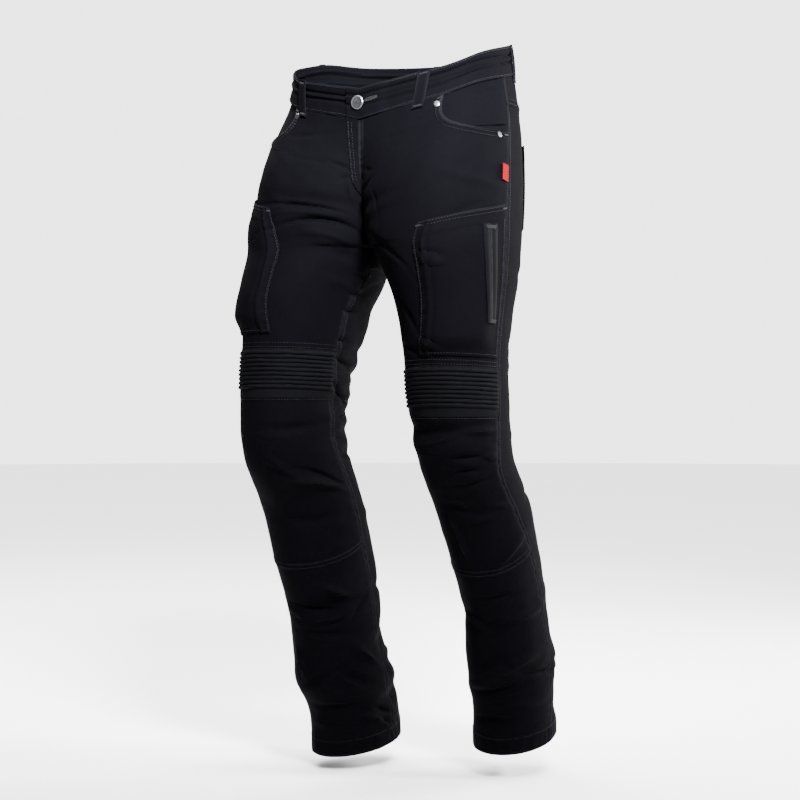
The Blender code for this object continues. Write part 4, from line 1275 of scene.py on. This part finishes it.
# Waist


def waist_place(place: np.ndarray, level: np.ndarray, lift: np.ndarray) -> np.ndarray:
    """Points round the whole waist.

    Args:
        place: -1 is the front centre, 0 the back centre and 1 the front centre again.
        level: Depth below the waist's edge.
        lift: Height over the creased form.

    Returns:
        Points, with a last axis of 3.
    """
    whole = np.abs(place) <= 1
    on_left = np.where(whole, place > 0, place < 0)
    turn = np.where(whole, 1 - np.abs(place), np.abs(place) - 1)
    flip = np.where(on_left, 1.0, -1.0)[..., None] * (1, 0, 0) + np.array((0, 1, 1))
    return FORM.place(Side.LEFT, turn, level, lift) * flip


@dataclass
class Waist:
    """The waistband, belt loops, fly lap, button and rivets."""

    wardrobe: Wardrobe
    ripple_pitch: float = 19 * MM
    tab_lap: float = 0.036
    tab_underlap: float = 0.022
    loop_width: float = 17 * MM
    loop_tail: float = 10 * MM

    @staticmethod
    def loop_places() -> dict[str, float]:
        """Where each belt loop sits round the waist."""
        return {
            "belt_loop_left_front": 0.838,
            "belt_loop_left_back": 0.400,
            "belt_loop_centre_back": 0.000,
            "belt_loop_right_back": -0.400,
            "belt_loop_right_front": -0.805,
        }

    def build(self) -> None:
        """Builds every piece at the waist."""
        self.band()
        self.fly_lap()
        for name, place in self.loop_places().items():
            self.loop(name, place)

    def band(self) -> None:
        """The band, with its lengthwise rolls, its left end lapped over the right one."""
        lapped = 1 - self.tab_underlap
        body = np.linspace(-1 - self.tab_underlap, lapped - 0.05, 250)
        tab = np.linspace(lapped - 0.05, 1 + self.tab_lap, 26)[1:]
        places = np.concatenate([body, tab])
        rows = graded(BAND_HEIGHT, coarse=2.0 * MM, fine=1.0 * MM, edge=6 * MM)
        levels = rows * (BAND_HEIGHT - SEAM_GAP / 2)
        place = np.repeat(places[None, :], len(levels), axis=0)
        level = np.repeat(levels[:, None], len(places), axis=1)
        lap_lift = ramp(place, lapped - 0.050, lapped - 0.024) * (CLOTH + 0.9 * MM)
        sway = 2.2 * MM * np.sin(place * 5.1 + 0.4)
        first = -2.8 * MM * hump(level - 0.0125 - sway, 1.9 * MM)
        first += 1.1 * MM * hump(level - 0.0175 - sway, 2.4 * MM)
        second = -2.2 * MM * hump(level - 0.0250 + sway, 2.0 * MM)
        length = place * 0.47
        ripple = 0.35 * MM * np.sin(length * 2 * math.pi / self.ripple_pitch + 2 * np.sin(length * 21))
        ripple = ripple * ramp(level, 0.02, BAND_HEIGHT)
        top_roll = -0.9 * MM * hump(level, 1.5 * MM)
        foot_roll = -0.6 * MM * hump(BAND_HEIGHT - level, 1.3 * MM)
        lift = lap_lift + 0.9 * MM + first + second + ripple + top_roll + foot_roll
        points = waist_place(place, level, lift)
        uv = np.stack([length, -level], axis=-1)
        # Lighter lines at the band's top and foot: painted highlight on the edges, partly rubbing.
        wear_and_highlight = 0.7 * hump(level, 2.0 * MM) + 0.5 * hump(level - BAND_HEIGHT, 2 * MM)
        piece = grid_mesh("waistband_cloth", points[:, ::-1], uv[:, ::-1], wear_and_highlight[:, ::-1])
        thicken(piece, 2.2 * MM)
        dress(piece, self.wardrobe.denim, "waistband")

    def loop(self, name: str, place: float) -> None:
        """A flat loop over the band, folded over and bar-tacked at both ends."""
        half = self.loop_width / 2 / 0.50
        levels = np.linspace(-0.0008, BAND_HEIGHT + self.loop_tail, 30)
        places = np.linspace(place - half, place + half, 9)
        grid_place = np.repeat(places[None, :], len(levels), axis=0)
        level = np.repeat(levels[:, None], len(places), axis=1)
        arch = 2.2 * MM + 1.2 * MM * np.sin(math.pi * np.clip(levels / (BAND_HEIGHT + 0.004), 0, 1))
        pinch = -0.9 * MM * hump(levels - 0.003, 0.002)
        pinch -= 1.1 * MM * hump(levels - BAND_HEIGHT - 0.0065, 0.0018)
        edge = np.abs(np.linspace(-1, 1, len(places)))
        lift = (arch + pinch)[:, None] + 1.0 * MM - 0.5 * MM * edge[None, :] ** 4
        points = waist_place(grid_place, level, lift)
        uv = np.stack([grid_place * 0.47, -level], axis=-1)
        # The loop's edges are drawn lighter: painted highlight, partly rubbing.
        wear_and_highlight = 0.5 * np.repeat((edge**3)[None, :], len(levels), axis=0)
        piece = grid_mesh(f"{name}_cloth", points[:, ::-1], uv[:, ::-1], wear_and_highlight[:, ::-1])
        thicken(piece, 1.5 * MM)
        dress(piece, self.wardrobe.denim, name)

    def fly_lap(self) -> None:
        """The stitched strip beside the front centre seam."""
        columns = np.linspace(0, 1, 15)
        rows = graded(0.16, coarse=3 * MM)
        turns = 0.007 + columns * (0.038 - 0.007)
        top = BAND_HEIGHT + SEAM_GAP
        ends = 0.205 - 0.030 * (turns / 0.038) ** 2
        level = top + rows[:, None] * (ends[None, :] - top)
        grid = Grid(Side.RIGHT, np.repeat(turns[None, :], len(rows), axis=0), level)
        lift = 2.0 * MM + pucker(grid.down, grid.from_end, 12 * MM, 0.9 * MM, 9 * MM)
        lift += pucker(grid.down + 0.005, grid.from_start, 17 * MM, 0.4 * MM, 9 * MM)
        # A lighter line along the fly lap's stitched edge: painted highlight, partly rubbing.
        wear_and_highlight = 0.5 * hump(grid.from_end, 2 * MM)
        cloth_piece("fly_lap", grid, lift, self.wardrobe.denim, wear_and_highlight)


@dataclass
class Trims:
    """The metal button and rivets, and the red side label."""

    wardrobe: Wardrobe
    label_levels: tuple[float, float] = (0.176, 0.200)
    label_turns: tuple[float, float] = (0.474, 0.4965)

    def build(self) -> None:
        """Dresses the studs and builds the label."""
        for name in ("waist_button", "rivet_left_mouth", "rivet_left_side", "rivet_right_mouth"):
            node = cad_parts[name]
            node.data.materials.clear()
            node.data.materials.append(self.wardrobe.nickel.material)
        self.label()

    def label(self) -> None:
        """The plain folded tab in the left side seam."""
        rows = np.linspace(0, 1, 14)
        columns = np.linspace(0, 1, 8)
        turns = self.label_turns[0] + columns * (self.label_turns[1] - self.label_turns[0])
        levels = self.label_levels[0] + rows * (self.label_levels[1] - self.label_levels[0])
        level = levels[:, None] + (turns[None, :] - turns[-1]) * 0.12
        grid = Grid(Side.LEFT, np.repeat(turns[None, :], len(rows), axis=0), level)
        curl = 1.6 * MM * ramp(0.012 - grid.from_start, 0.0, 0.012)
        lift = 1.9 * MM + curl
        cloth_piece("side_label", grid, lift, self.wardrobe.label, cloth=0.8 * MM)


# Stitching


@dataclass(frozen=True)
class StitchRow:
    """A row of topstitching along a line of the form.

    Attributes:
        side: The wearer's side.
        turn: Turns of the line's points.
        level: Levels of the line's points.
        lift: Height over the creased form, one value for each point.
        pitch: Distance from one stitch to the next, in metres.
        crosswise: Whether each stitch lies across the line, as in a bar tack, a buttonhole or a zip's coil.
    """

    side: Side
    turn: np.ndarray
    level: np.ndarray
    lift: np.ndarray
    pitch: float
    crosswise: bool


@dataclass
class Stitching:
    """All topstitching: one small stitch, modelled once and copied along every row."""

    wardrobe: Wardrobe
    length: float = 3.1 * MM
    radius: float = 0.32 * MM
    rows: list[StitchRow] = field(default_factory=list)

    def add(
        self,
        side: Side,
        turn: np.ndarray | float,
        level: np.ndarray | float,
        lift: float | np.ndarray,
        pitch: float = 4.2 * MM,
        crosswise: bool = False,
    ) -> None:
        """Adds one row, see StitchRow for its values."""
        turn, level = np.broadcast_arrays(np.asarray(turn, float), np.asarray(level, float))
        self.rows.append(StitchRow(side, turn, level, np.zeros_like(turn) + lift, pitch, crosswise))

    def tack(
        self, side: Side, turn: float, level: float, lift: float, width: float, slope: float = 0.0
    ) -> None:
        """Adds a bar tack, a short dense row of crosswise stitches.

        Args:
            side: The leg.
            turn: Its middle round the leg.
            level: Its middle's level.
            lift: Height over the creased form.
            width: Its length, in metres.
            slope: How far it falls towards the side seam, for each metre of length.
        """
        ends = np.array([-0.5, 0.5]) * width
        self.add(side, turn + ends / TURN_LENGTH, level + ends * slope, lift, 0.9 * MM, True)

    def stitch(self) -> tuple[np.ndarray, np.ndarray]:
        """Points and triangles of one stitch along X: a six-sided spindle with closed ends."""
        bpy.ops.object.select_all(action="DESELECT")
        bpy.ops.mesh.primitive_cylinder_add(vertices=6, radius=self.radius, depth=self.length * 0.62)
        made = bpy.context.active_object
        bpy.ops.object.mode_set(mode="EDIT")
        bpy.ops.mesh.select_all(action="DESELECT")
        bpy.ops.mesh.select_mode(type="FACE")
        shape = bmesh.from_edit_mesh(made.data)
        for face in shape.faces:
            face.select = abs(face.normal.z) > 0.9
        bmesh.update_edit_mesh(made.data)
        bpy.ops.mesh.poke(offset=self.length * 0.19)
        bpy.ops.mesh.select_all(action="SELECT")
        bpy.ops.mesh.quads_convert_to_tris()
        bpy.ops.object.mode_set(mode="OBJECT")
        made.data.transform(Matrix.Rotation(math.radians(90), 4, "Y"))
        points = np.array([v.co for v in made.data.vertices])
        faces = np.array([list(p.vertices) for p in made.data.polygons])
        bpy.data.objects.remove(made)
        return points, faces

    def build(self) -> None:
        """Copies the stitch along every row and joins each side's rows into one piece."""
        shape, faces = self.stitch()
        for side in Side:
            places = [self.frames(row) for row in self.rows if row.side is side]
            spots = np.concatenate([p[0] for p in places])
            turns = np.concatenate([p[1] for p in places])
            points = np.einsum("nij,kj->nki", turns, shape) + spots[:, None, :]
            index = np.arange(len(spots))[:, None, None] * len(shape) + faces[None]
            mesh = bpy.data.meshes.new(f"topstitching_{side.word}")
            mesh.from_pydata(points.reshape(-1, 3).tolist(), [], index.reshape(-1, 3).tolist())
            piece = bpy.data.objects.new(mesh.name, mesh)
            bpy.context.scene.collection.objects.link(piece)
            select_only(piece)
            bpy.ops.object.shade_smooth()
            dress(piece, self.wardrobe.thread)
            log.info("%s: %d stitches", piece.name, len(spots))

    def frames(self, row: StitchRow) -> tuple[np.ndarray, np.ndarray]:
        """Place and axes of every stitch of a row.

        Args:
            row: The row.

        Returns:
            Places, and matrices whose columns run along, across and out of the cloth.
        """
        fine = np.linspace(0, 1, 40 * len(row.turn))
        at = np.linspace(0, 1, len(row.turn))
        turn, level, lift = (np.interp(fine, at, v) for v in (row.turn, row.level, row.lift))
        points = FORM.place(row.side, turn, level, lift)
        run = np.concatenate([[0], np.cumsum(np.linalg.norm(np.diff(points, axis=0), axis=1))])
        count = max(2, int(run[-1] / row.pitch))
        stops = (np.arange(count) + 0.5) * run[-1] / count
        turn, level, lift = (np.interp(stops, run, v) for v in (turn, level, lift))
        spots = FORM.place(row.side, turn, level, lift)
        above = FORM.place(row.side, turn, level, lift + 0.01)
        out = (above - spots) / 0.01
        ends = [
            np.stack([np.interp(stops + step, run, points[:, k]) for k in range(3)], axis=-1)
            for step in (-1 * MM, 1 * MM)
        ]
        along = ends[1] - ends[0]
        along /= np.linalg.norm(along, axis=1, keepdims=True) + 1e-12
        across = np.cross(out, along)
        across /= np.linalg.norm(across, axis=1, keepdims=True) + 1e-12
        out = np.cross(along, across)
        if row.crosswise:
            along, across = across, -along
        return spots, np.stack([along, across, out], axis=-1)


SEAM_INSETS = (2.5 * MM, 8.5 * MM)


def plan_stitching(stitching: Stitching, pockets: Sequence[CargoPocket], patches: SmallPockets) -> None:
    """Lays out every row of topstitching on both sides.

    Args:
        stitching: Takes the rows.
        pockets: The cargo pockets, whose edges are stitched.
        patches: The small pockets, whose edges are stitched.
    """
    for side in Side:
        seams = SEAMS[side]
        # Under the band's top edge and over its foot, all round.
        turns = np.linspace(0.0, 1.0, 60)
        stitching.add(side, turns, 3.0 * MM, 1.3 * MM)
        stitching.add(side, turns, BAND_HEIGHT - 3.0 * MM, 1.3 * MM)
        # Two rows along the pocket mouth, tacked at both ends.
        angles = np.linspace(0.02, math.pi / 2 - 0.05, 30)
        level = BAND_HEIGHT + MOUTH_DEPTH * np.sin(angles)
        for inset in SEAM_INSETS:
            turn = mouth_end(level) - inset / TURN_LENGTH * np.cos(angles) * 1.1
            stitching.add(side, turn, level + inset * np.sin(angles), 1.3 * MM)
        stitching.tack(side, MOUTH_TURN - 0.009, BAND_HEIGHT + 4 * MM, 1.5 * MM, 9 * MM)
        stitching.tack(side, 0.488, BAND_HEIGHT + MOUTH_DEPTH + 5 * MM, 1.4 * MM, 9 * MM)
        # Knee seam, two rows on the knee panel's side.
        turns = np.linspace(0.01, 0.49, 40)
        for inset in SEAM_INSETS:
            stitching.add(side, turns, knee_seam(side, turns) - inset, 1.4 * MM)
        # Above and below the knee ribs.
        stitching.add(side, turns, seams.rib_top - 2.5 * MM, 0.5 * MM)
        stitching.add(side, turns, seams.rib_top - 8.0 * MM, 0.4 * MM)
        stitching.add(side, turns, seams.rib_end + 3.0 * MM, 0.5 * MM)
        # Hem, all round.
        turns = np.linspace(0.005, 0.995, 80)
        stitching.add(side, turns, seams.hem - HEM_BAND + 3 * MM, 1.0 * MM)
        # Yoke and seat seams, and the seams down the side and the inside of the leg.
        turns = np.linspace(0.51, 0.99, 40)
        for inset in SEAM_INSETS:
            stitching.add(side, turns, yoke_seam(turns) - inset, 1.4 * MM)
        down_side = np.linspace(YOKE_AT_SIDE + 0.012, seams.hem - HEM_BAND, 90)
        stitching.add(side, 0.5 + 4 * MM / TURN_LENGTH, down_side, 0.5 * MM)
        down_leg = np.linspace(CROTCH + 0.02, seams.hem - HEM_BAND, 80)
        stitching.add(side, 1 - 5 * MM / TURN_LENGTH, down_leg, 0.5 * MM)
        # The seat seam, two rows on the wearer's left of it.
        down_seat = np.linspace(YOKE_AT_BACK + 0.008, 0.230, 30)
        if side is Side.LEFT:
            for inset in SEAM_INSETS:
                stitching.add(side, 1 - inset / TURN_LENGTH, down_seat, 0.6 * MM)
        stitch_back_pocket(stitching, side, patches)
    for pocket in pockets:
        stitch_cargo(stitching, pocket)
    stitch_front(stitching)


def stitch_back_pocket(stitching: Stitching, side: Side, patches: SmallPockets) -> None:
    """Two rows round a back pocket and one under its hem."""
    width = 0.145
    for inset in SEAM_INSETS:
        share = inset / width
        drop = inset / patches.back_height
        turn, level = patches.back_spots(np.full(30, share), np.linspace(0.02, 1 - drop, 30))
        stitching.add(side, turn, level, 3.1 * MM)
        turn, level = patches.back_spots(np.full(30, 1 - share), np.linspace(0.02, 1 - drop, 30))
        stitching.add(side, turn, level, 3.1 * MM)
        turn, level = patches.back_spots(np.linspace(share, 1 - share, 40), np.full(40, 1 - drop))
        stitching.add(side, turn, level, 3.1 * MM)
    hem = np.full(40, 20 * MM / patches.back_height)
    turn, level = patches.back_spots(np.linspace(0.02, 0.98, 40), hem)
    stitching.add(side, turn, level, 3.3 * MM)


def stitch_cargo(stitching: Stitching, pocket: CargoPocket) -> None:
    """Rows along a cargo pocket's edges, tacks at its top corners, and its zip's coil."""
    width = 0.145
    even = np.linspace(0.02, 0.98, 40)

    def row(across: np.ndarray, down: np.ndarray, over: float) -> None:
        """One row on the pocket's face."""
        turn, level = pocket.spots(across, down)
        stitching.add(pocket.side, turn, level, pocket.stand_off(turn, level) + over)

    for inset in (2.5 * MM, 7.0 * MM):
        row(even, np.full(40, inset / pocket.height), 2.6 * MM)
    row(np.full(40, 2.5 * MM / width), even, 1.8 * MM)
    row(np.full(40, 1 - 2.5 * MM / width), even, 1.8 * MM)
    row(even, np.full(40, 1 - 3.0 * MM / pocket.height), 1.8 * MM)
    for across in (0.02, 0.98):
        turn, level = pocket.spots(np.array(across), np.array(0.03))
        lift = float(pocket.stand_off(turn, level)) + 2.8 * MM
        stitching.tack(pocket.side, float(turn), float(level), lift, 8 * MM, -0.2)
    middle = sum(pocket.zip_turns) / 2
    level = pocket.top + np.linspace(0.02, 0.98, 40) * pocket.zip_length
    lift = pocket.stand_off(np.full(40, middle), level) + 2.9 * MM
    stitching.add(pocket.side, middle, level, lift, 1.5 * MM, True)
    for end in (0.004, pocket.zip_length - 0.004):
        level = pocket.top + end
        lift = float(pocket.stand_off(np.array(middle), np.array(level))) + 4.2 * MM
        stitching.tack(pocket.side, middle, level, lift, 15 * MM)
        stitching.tack(pocket.side, middle, level + 2.4 * MM, lift, 13 * MM)


def stitch_front(stitching: Stitching) -> None:
    """Tacks on the belt loops, the buttonhole, the tab's edge and the fly."""
    for name, place in Waist.loop_places().items():
        side = Side.LEFT if place >= 0 else Side.RIGHT
        turn = 1 - abs(place)
        stitching.tack(side, turn, 4.0 * MM, 3.4 * MM, 14 * MM)
        stitching.tack(side, turn, BAND_HEIGHT + 6.5 * MM, 2.6 * MM, 14 * MM)
    round_hole = np.linspace(0, 2 * math.pi, 60)
    stitching.add(
        Side.LEFT,
        0.030 + 10 * MM / TURN_LENGTH * np.cos(round_hole),
        0.020 + 1.5 * MM * np.sin(round_hole),
        CLOTH + 2.3 * MM,
        0.9 * MM,
        True,
    )
    level = np.linspace(BAND_HEIGHT + 0.006, 0.172, 30)
    for inset in SEAM_INSETS:
        turn = 0.038 - inset / TURN_LENGTH
        stitching.add(Side.RIGHT, turn, level, 2.6 * MM)


# Stage


@dataclass(frozen=True)
class Lamp:
    """A square soft light: how far it stands to the right of the picture, nearer to the camera and up, its
    size, power, the height it looks at and how wide it spreads in degrees."""

    name: str
    right: float
    nearer: float
    up: float
    size: float
    watts: float
    aim: float
    spread: float


LAMPS = (
    Lamp("key", 2.0, -1.0, 0.05, 0.8, 150.0, -0.62, 180.0),
    Lamp("hips", 0.35, 1.5, 0.75, 0.4, 66.0, 0.04, 56.0),
    Lamp("shins", 1.8, 0.5, 0.15, 0.2, 19.0, -0.72, 80.0),
    Lamp("rear", -1.2, -2.2, 1.9, 1.6, 110.0, -0.5, 180.0),
)


@dataclass(frozen=True)
class Studio:
    """Camera at the photograph's place, soft lights and a plain pale floor."""

    azimuth: float = math.radians(30)
    distance: float = 2.8
    height: float = -0.505
    aside: float = -0.009
    frame_width: float = 1.184
    sensor: float = 36.0
    floor_level: float = -1.062
    ambient: float = 0.08
    ceiling: float = 9.0
    backdrop: float = 3.7

    def build(self) -> None:
        """Makes the camera, the lights, the world and the floor."""
        right = Vector((math.cos(self.azimuth), math.sin(self.azimuth), 0))
        back = Vector((math.sin(self.azimuth), -math.cos(self.azimuth), 0))
        data = bpy.data.cameras.new("camera")
        data.sensor_width = self.sensor
        data.lens = self.sensor * self.distance / self.frame_width
        camera = bpy.data.objects.new("camera", data)
        camera.location = right * self.aside + back * self.distance + Vector((0, 0, self.height))
        camera.rotation_mode = "QUATERNION"
        camera.rotation_quaternion = (-back).to_track_quat("-Z", "Y")
        bpy.context.scene.collection.objects.link(camera)
        bpy.context.scene.camera = camera
        for lamp in LAMPS:
            self.light(lamp, right * lamp.right + back * lamp.nearer + Vector((0, 0, lamp.up)))
        self.sun()
        world = bpy.data.worlds.new("studio")
        world.use_nodes = True
        tree = world.node_tree
        backdrop = tree.nodes["Background"]
        backdrop.inputs["Color"].default_value = linear("fafafb")
        # The white backdrop is seen at full strength and lights the cloth only softly.
        seen = add_node(tree, "ShaderNodeLightPath").outputs["Is Camera Ray"]
        strength = add_node(
            tree, "ShaderNodeMapRange", {0: seen, "To Min": self.ambient, "To Max": self.backdrop}
        )
        tree.links.new(strength.outputs[0], backdrop.inputs["Strength"])
        bpy.context.scene.world = world
        self.floor()

    def sun(self) -> None:
        """Wide soft light from straight above, which whitens the floor and draws the tops of the folds."""
        data = bpy.data.lights.new("ceiling", "SUN")
        data.energy = self.ceiling
        data.angle = math.radians(60)
        bpy.context.scene.collection.objects.link(bpy.data.objects.new("ceiling", data))

    def light(self, lamp: Lamp, place: Vector) -> None:
        """Sets up one lamp at its place, turned towards the middle of the trousers.

        Args:
            lamp: Its figures.
            place: Where it stands.
        """
        data = bpy.data.lights.new(lamp.name, "AREA")
        data.size = lamp.size
        data.energy = lamp.watts
        data.spread = math.radians(lamp.spread)
        light = bpy.data.objects.new(lamp.name, data)
        light.location = place
        light.rotation_mode = "QUATERNION"
        light.rotation_quaternion = (Vector((0, 0, lamp.aim)) - place).to_track_quat("-Z", "Y")
        bpy.context.scene.collection.objects.link(light)

    def floor(self) -> None:
        """A wide pale floor under the hems."""
        bpy.ops.object.select_all(action="DESELECT")
        place = (0, 0, self.floor_level)
        bpy.ops.mesh.primitive_circle_add(vertices=64, radius=14, fill_type="NGON", location=place)
        floor = bpy.context.active_object
        floor.name = "studio_floor"
        floor.data.materials.append(PALE_FLOOR.build())


def main() -> None:
    """Builds the stage and every piece in order."""
    Studio().build()
    wardrobe = Wardrobe()
    for side in Side:
        LegPanels(side, wardrobe).build()
    cargo_pockets = [CargoPocket(side, wardrobe) for side in Side]
    for pocket in cargo_pockets:
        pocket.build()
    patches = SmallPockets(wardrobe)
    patches.build()
    Waist(wardrobe).build()
    Trims(wardrobe).build()
    stitching = Stitching(wardrobe)
    plan_stitching(stitching, cargo_pockets, patches)
    stitching.build()


if __name__ == "__main__":
    main()
